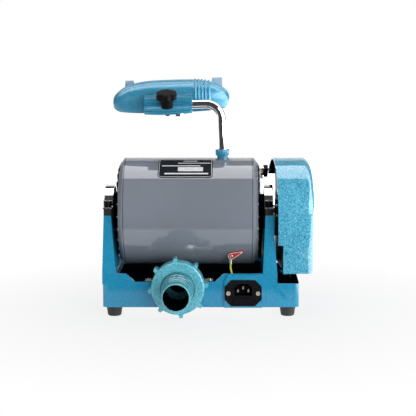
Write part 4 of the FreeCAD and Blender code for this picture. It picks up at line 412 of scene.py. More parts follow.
class Finish:
    """A material under construction."""

    def __init__(self, name, world=False):
        self.material = (bpy.data.worlds if world else bpy.data.materials).new(name)
        self.material.use_nodes = True
        self.nodes = self.material.node_tree.nodes
        self.links = self.material.node_tree.links
        self.nodes.clear()

    def add(self, kind, settings=None, values=None, out=0):
        """Add a node: its settings come first, then the values or links of its sockets."""
        node = self.nodes.new(kind)
        for key, value in (settings or {}).items():
            setattr(node, key, value)
        for key, value in (values or {}).items():
            if isinstance(value, Wire):
                self.links.new(value.socket, node.inputs[key])
            else:
                node.inputs[key].default_value = value
        return Wire(self, node.outputs[out]) if len(node.outputs) else node

    def spot(self, scale=(1.0, 1.0, 1.0), shift=(0.0, 0.0, 0.0), turn=(0.0, 0.0, 0.0)):
        """The object's own coordinates, shifted, turned and scaled."""
        at = self.add("ShaderNodeTexCoord", out="Object")
        return self.add("ShaderNodeMapping", {"vector_type": "POINT"},
                        {"Vector": at, "Scale": scale, "Location": shift, "Rotation": turn})

    def noise(self, at, scale, detail=2.0, rough=0.5):
        """Cloudy values from 0 to 1, scale of them to the metre."""
        return self.add("ShaderNodeTexNoise", {},
                        {"Vector": at, "Scale": scale, "Detail": detail, "Roughness": rough})

    def cells(self, at, scale, feature="F1", out="Distance"):
        """Distances inside packed cells, scale of them to the metre."""
        return self.add("ShaderNodeTexVoronoi", {"feature": feature},
                        {"Vector": at, "Scale": scale, "Randomness": 1.0}, out=out)

    def span(self, value, low, high, start=0.0, stop=1.0):
        """A value's run from low to high carried to start to stop, and held past the ends."""
        return self.add("ShaderNodeMapRange", {"clamp": True},
                        {"Value": value, "From Min": low, "From Max": high, "To Min": start,
                         "To Max": stop})

    def mix(self, first, second, share):
        """A blend of two colours."""
        ends = [end if isinstance(end, Wire) else (*end, 1.0) for end in (first, second)]
        return self.add("ShaderNodeMix", {"data_type": "RGBA"},
                        {0: share, 6: ends[0], 7: ends[1]}, out=2)

    def bump(self, height, distance, strength):
        """A bumped normal from a height in units of distance."""
        return self.add("ShaderNodeBump", {},
                        {"Height": height, "Distance": distance, "Strength": strength})

    def split(self, vector, part):
        """One part of a vector, X, Y or Z."""
        return self.add("ShaderNodeSeparateXYZ", {}, {0: vector}, out=part)

    def rays(self):
        """1 for what the camera sees, also through glass, and 1 for what gloss shows."""
        path = "ShaderNodeLightPath"
        camera = self.add(path, out="Is Camera Ray")
        return (camera.maths("MAXIMUM", camera, self.add(path, out="Is Transmission Ray")),
                self.add(path, out="Is Glossy Ray"))

    def within(self, low, high, soft=0.0003):
        """1 inside a box of the object's coordinates and 0 outside it."""
        at = self.spot()
        share = 1.0
        for part, start, stop in zip("XYZ", low, high):
            along = self.split(at, part)
            share = self.span(along, start - soft, start + soft) * share
            share = self.span(along, stop - soft, stop + soft, 1.0, 0.0) * share
        return share

    def surface(self, painted_shadow=None, **values):
        """The shader of the surface; underscores in the names stand for spaces. Where
        painted_shadow is 1
        the surface is dead black: painted shade."""
        settings = {key.replace("_", " "): value for key, value in values.items()}
        shader = self.add("ShaderNodeBsdfPrincipled", {}, settings)
        if painted_shadow is not None:
            # painted shade: where the mask is 1 a dead black diffuse replaces the surface
            black = self.add("ShaderNodeBsdfDiffuse", {}, {"Color": PAINTED_SHADE_BLACK})
            shader = self.add("ShaderNodeMixShader", {}, {0: painted_shadow, 1: shader, 2: black})
        self.add("ShaderNodeOutputMaterial", {}, {"Surface": shader})
        return self.material


FINISHES = {}


def scaled(shade, share):
    """A colour made darker or lighter."""
    return tuple(min(1.0, part * share) for part in shade)


def lifted(shade, step):
    """A colour made paler by the same step in each part."""
    return tuple(min(1.0, part + step) for part in shade)


def deck_shade(f):
    """1 on the base's deck under the motor: painted shade, dead black where the motor's shadow
    falls.
    """
    return f.within(*DECK)


def from_nozzle(f, at):
    """Distance from the nozzle's axis."""
    across = f.split(at, "X") - SUCTION.origin[0]
    up = f.split(at, "Z") - SUCTION.origin[2]
    return (across * across + up * up) ** 0.5


def bore_shade(f):
    """1 inside the nozzle's bore: painted shade, dead black."""
    return f.span(from_nozzle(f, f.spot()), 0.0169, 0.0173, 1.0, 0.0)


def ridge_shade(f):
    """1 in the grooves between the nozzle's barbs, which lie one pitch apart: painted shade that
    darkens them.
    """
    at = f.spot()
    along = (SUCTION.origin[1] - BARB_ROOT - f.split(at, "Y")) * (1.0 / BARB_PITCH)
    narrow = f.span(from_nozzle(f, at), 0.0230, 0.0236, 1.0, 0.0)
    part = along.maths("FRACT", along, 0.0)
    groove = f.span(part, 0.34, 0.52) + f.span(part, 0.02, 0.07, 1.0, 0.0)
    return groove * narrow * (along > -0.1) * (along < float(BARBS))


def lining_shade(f):
    """1 on the inner side of the guard's wall: painted shade, dead black."""
    at = f.spot(shift=tuple(-(GUARD.origin @ GUARD.axes)), turn=(0.0, 0.0, -GUARD_TURN))
    across = f.split(at, "Y")
    above = f.span(f.split(at, "Z"), 0.0, 0.1, 0.0, 0.1)
    inside = f.span((across * across + above * above) ** 0.5, 0.0725, 0.0730, 1.0, 0.0)
    return inside * (f.split(at, "X") < 0.0395)


def hammered(name, dark, light, grain, depth, metal=0.12, rough=0.36, coat=0.6, speckle=0.5,
             shade=None, painted_groove_shade=None, haze=0.05):
    """Hammered metallic paint: shallow cups of uneven brightness with fine flecks, and slow clouds
    over them. shade gives where painted shade makes the surface dead black, painted_groove_shade
    where painted shade darkens it."""
    f = Finish(name)
    at = f.spot()
    cups = f.cells(at, grain, "SMOOTH_F1")
    tone = f.split(f.cells(at, grain, out="Color"), "X")
    fleck = f.noise(at, grain * 1.7, 3.0, 0.7)
    cloud = f.noise(at, 22.0, 3.0)
    share = f.span(fleck, 0.36, 0.64) * (1.0 - speckle) + tone * speckle
    share = share + (cloud - 0.5) * 0.3
    base = f.mix(dark, light, share)
    if painted_groove_shade:
        # painted shade: the grooves darkened towards a deep shade of the paint
        base = f.mix(base, scaled(dark, 0.2), painted_groove_shade(f) * 0.85)
    return f.surface(
        shade(f) if shade else None, Base_Color=base, Metallic=metal,
        Roughness=f.span(fleck, 0.3, 0.7, rough + 0.12, rough - 0.08),
        Specular_IOR_Level=0.10, Coat_Weight=coat, Coat_Roughness=haze, Coat_IOR=1.55,
        Normal=f.bump(f.span(cups, 0.0, 0.8) + fleck * 0.5, depth, 0.7))


def enamel(name, shade):
    """Smooth stoved enamel: deep gloss over faint clouds, dust nibs and fine scuffs, darker in
    the seams at the shell's two ends; the hubs beyond are painted shade, dead black."""
    f = Finish(name)
    at = f.spot()
    cloud = f.noise(at, 9.0, 3.0)
    nibs = f.cells(at, 260.0)
    scuff = f.noise(f.spot(scale=(0.15, 1.0, 1.0)), 900.0, 2.0)
    end = (f.split(at, "X") - MOTOR.origin[0]).size()
    seam = f.span(end, 0.0868, 0.0873) * f.span(end, 0.0881, 0.0886, 1.0, 0.0)
    # painted shade: the hubs beyond the bells are dead black
    hub_painted_shade = f.span(end, 0.0958, 0.0966)
    base = f.mix(shade, scaled(shade, 1.10), f.span(cloud, 0.35, 0.65))
    base = f.mix(base, scaled(shade, 0.30), seam * 0.8)
    return f.surface(
        hub_painted_shade, Base_Color=base, Roughness=f.span(scuff, 0.35, 0.7, 0.5, 0.62),
        Coat_Weight=f.span(end, 0.0880, 0.0890, 1.0, 0.25),
        Coat_Roughness=0.02, Coat_IOR=1.55, Specular_IOR_Level=0.15,
        Normal=f.bump(f.span(nibs, 0.0, 0.05, 1.0, 0.0) + cloud * 0.4, 0.00003, 0.5))


def metal(name, shade, rough, streak=(1.0, 1.0, 1.0)):
    """Bare or plated metal: streaks of polish and small stains."""
    f = Finish(name)
    spread = 0.12
    lines = f.noise(f.spot(scale=streak), 1400.0, 3.0, 0.6)
    stain = f.noise(f.spot(), 60.0, 4.0)
    worn = f.span(stain, 0.5, 0.78) * 0.6 + f.span(lines, 0.4, 0.7) * 0.2
    base = f.mix(shade, scaled(shade, 0.72), worn)
    return f.surface(
        Base_Color=base, Metallic=1.0,
        Roughness=f.span(lines + stain * 0.5, 0.45, 1.0, max(0.03, rough - spread), rough + spread),
        Normal=f.bump(lines, 0.00003, 0.6))


def chrome(name, shade):
    """Polished chrome: mirror plating with faint smears."""
    f = Finish(name)
    smear = f.noise(f.spot(), 45.0, 4.0)
    return f.surface(
        Base_Color=f.mix(shade, scaled(shade, 0.88), f.span(smear, 0.4, 0.7)),
        Metallic=1.0, Roughness=f.span(smear, 0.4, 0.75, 0.02, 0.07))


def moulding(name, shade, light, rough, gloss=0.5):
    """Moulded plastic: an even eroded grain, slow shifts of shade and rubbed patches."""
    f = Finish(name)
    at = f.spot()
    fine = f.noise(at, 1500.0, 3.0, 0.65)
    cloud = f.noise(at, 35.0, 3.0)
    rub = f.span(cloud, 0.5, 0.75)
    base = f.mix(shade, light, f.span(fine, 0.35, 0.7) * 0.6 + rub * 0.25)
    return f.surface(
        Base_Color=base, Roughness=f.span(fine, 0.3, 0.7, rough + 0.08, rough - 0.06),
        Specular_IOR_Level=gloss, Normal=f.bump(fine, 0.00006, 0.7))


def layered(name, shade, dark, pitch):
    """Stacked sheets or wound strands: fine lines across X."""
    f = Finish(name)
    at = f.spot()
    wave = f.add("ShaderNodeTexWave", {"bands_direction": "X"},
                 {"Vector": at, "Scale": 1.0 / pitch / 6.3, "Distortion": 0.3})
    stain = f.noise(at, 120.0, 3.0)
    return f.surface(
        Base_Color=f.mix(dark, shade, wave * 0.7 + stain * 0.3), Metallic=0.8,
        Roughness=f.span(stain, 0.3, 0.7, 0.35, 0.6), Normal=f.bump(wave, 0.0002, 0.6))


def grit(name, shade, dark):
    """Bonded abrasive: packed grains in a dusty bond."""
    f = Finish(name)
    at = f.spot()
    grains = f.cells(at, 1500.0)
    tone = f.cells(at, 1500.0, out="Color")
    dust = f.noise(at, 40.0, 3.0)
    share = f.split(tone, "X") * 0.7 + f.span(dust, 0.4, 0.7) * 0.3
    return f.surface(
        Base_Color=f.mix(dark, shade, share), Roughness=f.span(dust, 0.3, 0.7, 0.8, 0.95),
        Normal=f.bump(1.0 - grains, 0.0005, 0.9))


def clear(name, shade, rough, pass_light, haze):
    """Plastic or glass sheet that lets pass_light of the light through, finely scratched."""
    f = Finish(name)
    at = f.spot()
    scratch = f.noise(f.spot(scale=(1.0, 0.05, 1.0)), 2400.0, 2.0)
    cloud = f.noise(at, 30.0, 2.0)
    return f.surface(
        Base_Color=f.mix(shade, lifted(shade, haze), f.span(cloud, 0.35, 0.65)), IOR=1.49,
        Roughness=f.span(scratch, 0.55, 0.75, rough, rough + 0.12), Transmission_Weight=pass_light,
        Normal=f.bump(scratch, 0.00002, 0.4))


def coated_glass(name):
    """A lamp tube's white coating under smooth glass."""
    f = Finish(name)
    dust = f.noise(f.spot(), 90.0, 3.0)
    base = f.mix((0.86, 0.87, 0.88), (0.78, 0.80, 0.80), f.span(dust, 0.4, 0.7))
    return f.surface(
        Base_Color=base, Roughness=f.span(dust, 0.3, 0.7, 0.25, 0.35), Coat_Weight=0.8)


def striped_cover(name, first, second):
    """Two coloured wire cover: stripes that wind round the wire."""
    f = Finish(name)
    at = f.spot()
    across = f.split(at, "X") * 900.0 + f.split(at, "Z") * 140.0
    wave = f.add("ShaderNodeMath", {"operation": "SINE"}, {0: across})
    fine = f.noise(at, 1800.0)
    return f.surface(Base_Color=f.mix(first, second, f.span(wave, -0.15, 0.15)),
                     Roughness=f.span(fine, 0.3, 0.7, 0.35, 0.5), Normal=f.bump(fine, 0.00004, 0.5))


def rubber(name, shade):
    """Soft rubber: dusty, faintly pitted, paler where it is rubbed."""
    f = Finish(name)
    at = f.spot()
    pits = f.cells(at, 1100.0)
    dust = f.noise(at, 70.0, 4.0)
    return f.surface(Base_Color=f.mix(shade, lifted(shade, 0.022), f.span(dust, 0.4, 0.7)),
                     Roughness=f.span(dust, 0.3, 0.7, 0.5, 0.75),
                     Normal=f.bump(f.span(pits, 0.0, 0.25), 0.00008, 0.6))


def print_ink(name, shade, dark, gloss=0.12):
    """Printed plate: ink with a slight orange peel and rubbed spots."""
    f = Finish(name)
    at = f.spot()
    peel = f.noise(at, 700.0, 2.0)
    rub = f.noise(at, 150.0, 4.0)
    return f.surface(Base_Color=f.mix(shade, dark, f.span(rub, 0.45, 0.8)),
                     Roughness=f.span(peel, 0.3, 0.7, 0.55, 0.7), Specular_IOR_Level=gloss,
                     Normal=f.bump(peel, 0.00003, 0.5))


def make_finishes(c):
    """Every finish, by the name of its slot."""
    FINISHES.update({
        "base_paint": hammered("hammered_base", c.paint, c.paint_light, 800.0, 0.00010, 0.05,
                               shade=deck_shade),
        "guard_paint": hammered("hammered_guard", c.guard, c.guard_light, 900.0, 0.00020, 0.04,
                                coat=1.0, speckle=0.85, shade=lining_shade),
        "hood_plastic": hammered("speckled_hood", c.hood, c.hood_light, 1100.0, 0.00001, 0.18, 0.50,
                                 1.0, haze=0.28),
        "clamp_paint": hammered("speckled_clamp", c.hood, c.hood_light, 900.0, 0.00003, 0.2, 0.36,
                                1.0, haze=0.20),
        "hose_plastic": hammered("speckled_nozzle", c.hose, c.hose_light, 900.0, 0.00014, 0.08,
                                 0.35, 0.5, 0.75, bore_shade, ridge_shade),
        "motor_enamel": enamel("motor_enamel", c.enamel),
        "bright_steel": metal("bright_steel", c.steel, 0.24, (0.1, 1.0, 1.0)),
        "chrome_plate": chrome("chrome_plate", c.chrome),
        "black_steel": metal("blackened_steel", (0.030, 0.031, 0.034), 0.38),
        "black_rubber": rubber("black_rubber", (0.008, 0.008, 0.009)),
        "zinc_screws": metal("zinc_plate", c.zinc, 0.28),
        "copper_wire": layered("copper_strands", (0.55, 0.22, 0.09), (0.22, 0.07, 0.03), 0.0009),
        "laminations": layered("stacked_sheet", (0.30, 0.30, 0.31), (0.07, 0.07, 0.075), 0.0010),
        "black_plastic": moulding("black_moulding", c.black, (0.009, 0.009, 0.011), 0.5,
                                  gloss=0.05),
        "abrasive": grit("bonded_grit", (0.55, 0.52, 0.47), (0.22, 0.20, 0.18)),
        "lamp_glass": coated_glass("coated_tube"),
        "clear_plastic": clear("clear_sheet", (0.86, 0.92, 0.94), 0.03, 0.95, 0.04),
        "visor_plastic": clear("hazy_sheet", (0.33, 0.47, 0.60), 0.35, 0.05, 0.08),
        "red_plastic": moulding("red_sleeve", c.red, (0.50, 0.030, 0.030), 0.38),
        "wire_cover": striped_cover("striped_cover", (0.75, 0.70, 0.05), (0.10, 0.28, 0.03)),
        "white_plastic": moulding("white_moulding", c.white, (0.70, 0.70, 0.68), 0.42),
        "light_alloy": metal("turned_alloy", (0.62, 0.63, 0.65), 0.32, (1.0, 0.12, 0.12)),
        "brass_pins": metal("plated_pins", (0.42, 0.39, 0.32), 0.30),
        "fuse_glass": clear("fuse_glass", (0.88, 0.91, 0.90), 0.03, 0.9, 0.03),
        "plate_slate": print_ink("plate_slate", c.slate, (0.020, 0.022, 0.028), 0.03),
        "plate_white": print_ink("plate_white", c.white, (0.62, 0.63, 0.65)),
    })


def finish_of(slot):
    """The finish of a slot; the finishes are made first."""
    if slot not in FINISHES:
        raise RuntimeError(f"the finish {slot} isn't made yet")
    return FINISHES[slot]


SLOT_OF = {part["node"]: part["material_slot"] for part in frame["record"]["subparts"]}


class LatheOperator(bpy.types.Operator):
    """What the lathe's operators share."""
    bl_options = {"REGISTER", "UNDO"}

    @classmethod
    def poll(cls, context):
        return context.scene is not None


class LATHE_OT_finishes(LatheOperator):
    """Make every finish and put it on the machine's solids"""
    bl_idname = "lathe.finishes"
    bl_label = "Finishes"

    def execute(self, context):
        make_finishes(context.scene.lathe_colours)
        for node, item in frame["nodes"].items():
            item.data.materials.clear()
            item.data.materials.append(finish_of(SLOT_OF[node]))
        return {"FINISHED"}


class LATHE_OT_castings(LatheOperator):
    """The base and the wheel's guard with rounded edges, and the sheet parts round them"""
    bl_idname = "lathe.castings"
    bl_label = "Castings"

    def execute(self, context):
        sizes = context.scene.lathe_sizes
        softened_copies([
            ("base_casting", "cast_base", "machine"),
            ("guard_shell", "cast_guard", "machine"),
        ], sizes.cast_edge)
        softened_copies([
            ("guard_bracket", "guard_angle", "machine"),
            ("guard_back_plate", "guard_inner_plate", "machine"),
            ("strap_left", "ring_strap_left", "machine"),
            ("strap_right", "ring_strap_right", "machine"),
            ("suction_strap", "duct_strap", "machine"),
            ("base_bottom_plate", "bottom_plate", "machine"),
        ], sizes.sheet_edge)
        return {"FINISHED"}


class LATHE_OT_motor(LatheOperator):
    """The motor's rolled shell and its ribbed end bells"""
    bl_idname = "lathe.motor"
    bl_label = "Motor"

    def execute(self, context):
        sizes = context.scene.lathe_sizes
        half = sizes.shell_length / 2
        outside, inside = sizes.shell_radius, sizes.shell_radius - sizes.shell_wall
        # The shell is its wall's section (r, x), rounded and carried round the motor's axis
        profile = softened([(outside, -half), (outside, half), (inside, half), (inside, -half)],
                           0.0007, 4)
        place = MOTOR.turn("y", math.radians(90))
        piece = add_surface("rolled_shell", spun(profile, place, 192), "machine", "motor_enamel",
                            ["motor_shell"], 50.0, (True, True))
        piece.modifiers.new("normals", "WEIGHTED_NORMAL").keep_sharp = True
        softened_copies([
            ("end_bell_left", "ribbed_bell_left", "machine"),
            ("end_bell_right", "ribbed_bell_right", "machine"),
        ], sizes.moulded_edge)
        return {"FINISHED"}


class LATHE_OT_suction(LatheOperator):
    """The lugged union nut and the barbed hose nozzle"""
    bl_idname = "lathe.suction"
    bl_label = "Suction nozzle"

    def execute(self, context):
        sizes = context.scene.lathe_sizes
        softened_copies([("hose_nut", "lugged_nut", "union_nut")], sizes.cast_edge)
        add_surface("ribbed_nozzle", spun(self.outline(), SUCTION, 128), "machine", "hose_plastic",
                    ["hose_nozzle"], 50.0, (True, True))
        return {"FINISHED"}

    @staticmethod
    def outline():
        """Half section (r, z): flange, short root, five barbs that fall back behind their crests,
        a plain tip and the bore. Each barb is a groove, a step out and a slope to the next."""
        root, pitch, taper, first, groove = BARB_ROOT, BARB_PITCH, 0.00085, 0.0226, 0.0021
        barb = np.arange(BARBS)
        crest = first - barb * taper
        valley = np.maximum(crest - groove, 0.0176)
        start = root + barb * pitch
        steps = np.stack((
            np.stack((crest, start + 0.0007), 1),
            np.stack((crest, start + 0.0037), 1),
            np.stack((valley, start + 0.0072), 1),
            np.stack((valley, start + pitch), 1),
        ), axis=1).reshape(-1, 2)
        end = root + BARBS * pitch
        head = [(0.0168, 0.0150), (0.0279, 0.0150), (0.0279, 0.0196), (0.0228, 0.0196),
                (0.0228, root)]
        tail = [(0.0188, end + 0.0006), (0.0186, 0.0842), (0.0180, 0.0855), (0.0168, 0.0855)]
        return softened(np.vstack((head, steps, tail)), 0.0006, 4)


class LATHE_OT_inlet(LatheOperator):
    """The mains inlet with its fuse drawer, the front switch and the terminal block"""
    bl_idname = "lathe.inlet"
    bl_label = "Inlet and switch"

    def execute(self, context):
        sizes = context.scene.lathe_sizes
        softened_copies([
            ("inlet_body", "inlet_moulding", "machine"),
            ("fuse_drawer", "drawer_moulding", "fuse_tray"),
            ("switch_housing", "switch_frame", "machine"),
            ("switch_rocker", "switch_paddle", "rocker"),
            ("terminal_block", "terminal_moulding", "machine"),
        ], sizes.moulded_edge)
        return {"FINISHED"}


def hood_scale(share):
    """How full the hood is along its length: end + (1 - end) sqrt(1 - |t|^p), where t runs from
    -1 at the left end over 0 at the fullest section to 1 at the right end."""
    fullest = 0.47
    t = np.where(share < fullest, (fullest - share) / fullest, (share - fullest) / (1 - fullest))
    power = np.where(share < fullest, 3.0, 3.6)
    return np.sqrt(np.clip(1.0 - t ** power, 0.0, 1.0))


def hood_surface(sizes, columns=400, rows=91):
    """The hood's outer skin over (share along X, angle over the top). A section is an arch from
    the rear rim over the crown to the front rim: y and z follow a superellipse in the angle. Ribs
    are raised cosines along X, and a crease and a rolled band run under the crown line."""
    end = sizes.hood_end
    spread = 0.5 - 0.5 * np.cos(np.linspace(0.0, math.pi, columns))
    full = end + (1 - end) * hood_scale(spread)
    lead = np.linspace(0.0, 1.0, 7)[:-1]
    cap = end * np.sin(lead * math.pi / 2)
    nose = 0.0012 * (1 - np.sin(lead * math.pi / 2))
    x = sizes.hood_left + (sizes.hood_right - sizes.hood_left) * spread
    x = np.concatenate((sizes.hood_left - nose, x, (sizes.hood_right + nose)[::-1]))
    full = np.concatenate((cap, full, cap[::-1]))
    over = np.linspace(0.0, math.pi, rows)
    x, over = x[:, None], over[None, :]
    full = full[:, None]
    power = 0.80
    side = -np.sign(np.cos(over)) * np.abs(np.cos(over)) ** power
    rise = np.abs(np.sin(over)) ** power
    rear = (sizes.hood_middle - sizes.hood_rear) * full
    front = (sizes.hood_front - sizes.hood_middle) * full
    inset = np.minimum(x - sizes.hood_left, sizes.hood_right - x)
    bend = 1.0 - np.clip(inset / sizes.rim_turn, 0.0, 1.0)
    rim = sizes.rim_lift * (1.0 - np.sqrt(1.0 - bend ** 2)) - sizes.hood_rim
    depth = (sizes.hood_crown - rim) * full
    step = (x - sizes.rib_start) / sizes.rib_pitch
    ribbed = smooth_step(-0.6, -0.35, step) * (1 - smooth_step(
        sizes.rib_count - 0.65, sizes.rib_count - 0.4, step))
    rib = sizes.rib_rise * ribbed * (0.5 + 0.5 * np.cos(2 * math.pi * step)) ** 1.3
    rib = rib * smooth_step(0.02, 0.25, over) * (1 - smooth_step(1.9, 2.4, over))
    turn = over - 1.42
    crease = -sizes.band_drop * np.exp(-(turn / 0.05) ** 2)
    crease = crease + sizes.band_drop * 0.5 * smooth_step(-0.02, 0.12, turn)
    lift = (rib + crease) * np.clip(full * 1.4, 0.0, 1.0)
    y = sizes.hood_middle + np.where(side < 0, rear, front) * side + lift * side
    z = rim + depth * rise + lift * rise
    return np.stack((np.broadcast_to(x, y.shape), y, z), axis=2)


class LATHE_OT_hood(LatheOperator):
    """The lamp's ribbed hood with its boss, its hazy visor and its tube's base"""
    bl_idname = "lathe.hood"
    bl_label = "Lamp hood"

    def execute(self, context):
        sizes = context.scene.lathe_sizes
        place = head_place(sizes)
        piece = add_surface("ribbed_hood", place.out(hood_surface(sizes)), "lamp_head",
                            "hood_plastic", ["lamp_hood"], 60.0, (False, False), 1e-5)
        wall = piece.modifiers.new("wall", "SOLIDIFY")
        wall.thickness = sizes.hood_wall
        wall.offset = -1.0
        # The boss is one rounded outline at three depths, closed by its middle at both ends
        boss = rings(rounded_outline(0.0200, 0.0060, 0.0030),
                     [(1.0, -0.0088), (1.0, -0.0180), (1.0, -0.0235)])
        boss = np.stack((boss[..., 0] - 0.0290, -boss[..., 2], boss[..., 1] + 0.0040), axis=2)
        middle = np.broadcast_to(boss.mean(axis=1, keepdims=True), boss.shape)
        boss = np.concatenate((middle[:1], boss, middle[-1:]))
        add_surface("hood_boss", place.out(boss), "lamp_head", "hood_plastic")
        softened_copies([
            ("lamp_visor", "visor_sheet", "lamp_head"),
            ("bulb_base", "tube_base", "lamp_head"),
        ], sizes.sheet_edge)
        return {"FINISHED"}


class LATHE_OT_lamp_joint(LatheOperator):
    """The clamp on the lamp's tube, the lobed knob and the fluted collar"""
    bl_idname = "lathe.lamp_joint"
    bl_label = "Clamp, knob and collar"

    def execute(self, context):
        sizes = context.scene.lathe_sizes
        softened_copies([
            ("lamp_clamp_upper", "clamp_upper", "lamp_head"),
            ("lamp_clamp_lower", "clamp_lower", "lamp_head"),
        ], sizes.moulded_edge)
        self.knob(sizes)
        self.collar(sizes)
        return {"FINISHED"}

    @staticmethod
    def knob(sizes):
        """Head, neck and stem turned from one outline; round the head the radius falls by
        hollow (0.5 + 0.5 cos(lobes a))^2."""
        place = head_place(sizes).at(x=-0.0270, y=-0.0180, z=0.00455)
        radius, neck = sizes.knob_radius, 0.0089
        outline = [
            (0.0, -0.0120), (0.0030, -0.0120), (0.0030, 0.0), (neck - 0.0008, 0.0), (neck, 0.0120),
            (neck + 0.0002, 0.0128), (radius - 0.0009, 0.0130), (radius, 0.0142),
            (radius, 0.0190), (radius - 0.0006, 0.0204), (radius - 0.0030, 0.0220),
            (radius - 0.0075, 0.0228), (0.0, 0.0230),
        ]
        ends = np.array(outline)
        along = np.linspace(0.0, 1.0, 9)[None, :, None]
        profile = (ends[:-1, None] * (1 - along) + ends[1:, None] * along)[:, :-1].reshape(-1, 2)
        profile = np.vstack((profile, ends[-1:]))

        def hollows(around, r, z):
            lobe = (0.5 + 0.5 * np.cos(sizes.knob_lobes * around)) ** 2
            return r - sizes.knob_hollow * lobe * smooth_step(0.0095, 0.0150, r) * (z > 0.0125)

        add_surface("lobed_knob", spun(profile, place, 144, hollows), "clamp_knob",
                    "black_plastic", ["lamp_knob"], 40.0)

    @staticmethod
    def collar(sizes):
        """Neck and head turned from one outline; the head's radius follows |sin(flutes a / 2)|."""
        place = lamp_place(sizes)
        radius, top = sizes.collar_radius, sizes.collar_height
        outline = [
            (0.00605, -0.0050), (0.0079, -0.0050), (0.0079, 0.0034), (0.0092, 0.0036),
            (radius, 0.0044), (radius, top - 0.0014), (radius - 0.0004, top - 0.0004),
            (radius - 0.0014, top), (0.00605, top),
        ]
        profile = softened(outline, 0.0004, 3)

        def flutes(around, r, z):
            wave = 1 - np.abs(np.sin(sizes.collar_flutes * around / 2))
            return r - 0.0010 * wave ** 2 * (r > 0.0088) * (z < top - 0.0002)

        add_surface("fluted_collar", spun(profile, place, 216, flutes), "machine", "clamp_paint",
                    ["lamp_socket"], 40.0, (True, True))


class LATHE_OT_trims(LatheOperator):
    """The earth lug's red sleeve, small screws and two thin black sheets of painted shade between
    motor and arms
    """
    bl_idname = "lathe.trims"
    bl_label = "Trims"

    def execute(self, context):
        sizes = context.scene.lathe_sizes
        self.sleeve(sizes)
        for name, place, radius, slot in (
                ("lug_screw", (0.0589, -0.0584, 0.0668), 0.0024, "zinc_screws"),
                ("bracket_screw_1", (0.1210, -0.0514, 0.1360), 0.0019, "bright_steel"),
                ("bracket_screw_2", (0.1210, -0.0514, 0.1216), 0.0019, "bright_steel"),
                ("vent_screw", (0.0940, -0.0672, 0.1060), 0.0024, "brass_pins")):
            self.screw(name, MACHINE.at(*place), radius, slot)
        # two black sheets of painted shade in the gaps beside the motor
        self.strip("gap_strip_right", 0.0987, 0.1059, 0.0460, 0.1140)
        self.strip("gap_strip_left", -0.1059, -0.0987, 0.0460, 0.1140)
        return {"FINISHED"}

    @staticmethod
    def sleeve(sizes):
        """A drop: an arc of the wide radius about the lug and a small arc at the tip, joined by
        their common tangents; its edge falls away like a quarter turn."""
        wide, narrow, reach = sizes.sleeve_radius, sizes.sleeve_tip, sizes.sleeve_reach
        touch = math.acos((wide - narrow) / reach)
        first = np.linspace(touch, 2 * math.pi - touch, 40)
        second = np.linspace(-touch, touch, 14)
        drop = np.vstack((np.c_[wide * np.cos(first), wide * np.sin(first)],
                          np.c_[reach + narrow * np.cos(second), narrow * np.sin(second)]))
        drop = evenly(drop, 96)
        place = MACHINE.at(x=0.0589, y=-0.0565, z=0.0670).turn("x", math.radians(105))
        place = place.turn("z", math.radians(22.6))
        thick = sizes.sleeve_thickness
        sleeve = rings(drop, [(0.0, thick), (0.5, thick), (0.88, thick), (0.96, thick * 0.85),
                              (1.0, thick * 0.5), (0.96, 0.0), (0.0, 0.0)])
        add_surface("tag_sleeve", place.out(sleeve), "machine", "red_plastic", ["earth_tag"])
        band = rings(drop, [(0.84, thick * 0.9), (0.84, thick + 0.00015),
                            (0.74, thick + 0.00015), (0.74, thick * 0.9)])
        add_surface("tag_border", place.out(band), "machine", "white_plastic", wrap=(True, True))

    @staticmethod
    def screw(name, place, radius, slot):
        """A pan head with a round recess: an outline (r, z) in shares of its radius, turned about
        its axis and facing the rear."""
        outline = np.array([
            (0.0, 0.25), (0.36, 0.25), (0.42, 0.62), (0.62, 0.66), (0.86, 0.50), (1.0, 0.22),
            (1.0, -0.3), (0.0, -0.3)]) * radius
        place = place.turn("x", math.radians(90))
        add_surface(name, spun(outline, place, 32), "machine", slot)

    @staticmethod
    def strip(name, left, right, low, high):
        """A thin black sheet of painted shade in the gap between an arm and the motor's end: a
        rounded outline grown from its middle to its edge, and shrunk back to it behind."""
        edge = rounded_outline((right - left) / 2, (high - low) / 2, 0.0010)
        place = MACHINE.at(x=(left + right) / 2, y=0.0470, z=(low + high) / 2)
        place = place.turn("x", math.radians(90))
        strip = rings(edge, [(0.0, 0.0007), (0.92, 0.0007), (1.0, 0.0005), (1.0, -0.0005),
                             (0.92, -0.0007), (0.0, -0.0007)])
        add_surface(name, place.out(strip), "machine", "black_rubber")


def on_shell(sizes, flat, lift):
    """Carry (x, s) to the shell: x stays, and s is the distance round from the plate's middle."""
    radius = sizes.shell_radius + lift
    turn = PLATE_RISE + flat[..., 1] / sizes.shell_radius
    return MOTOR.out(np.stack((flat[..., 0] - PLATE_SHIFT, -radius * np.cos(turn),
                               radius * np.sin(turn)), axis=-1))


def shell_patch(name, sizes, centre, half, corner, low, high):
    """A rounded patch that follows the shell, from its middle out to its edge and down."""
    edge = evenly(rounded_outline(*half, corner), PLATE_POINTS)
    share = np.linspace(0.0, 1.0, 12)[:, None, None]
    flat = np.array(centre) + edge[None] * share
    top = on_shell(sizes, flat, high)
    rim = on_shell(sizes, flat[-1:], low)
    under = on_shell(sizes, flat[::-1], low)
    return tidy_mesh(grid_mesh(name, np.concatenate((top, rim, under[1:])), False, True))


def shell_frame(name, sizes, centre, half, corner, width, low, high):
    """A narrow rounded frame that follows the shell: an outer and an inner outline, width apart,
    each at both lifts."""
    outer = evenly(rounded_outline(*half, corner), PLATE_POINTS)
    inner = rounded_outline(half[0] - width, half[1] - width, max(corner - width, 0.0003))
    inner = evenly(inner, PLATE_POINTS)
    rings = [on_shell(sizes, np.array(centre) + line, lift)
             for line, lift in ((outer, low), (outer, high), (inner, high), (inner, low))]
    return tidy_mesh(grid_mesh(name, np.array(rings), True, True))


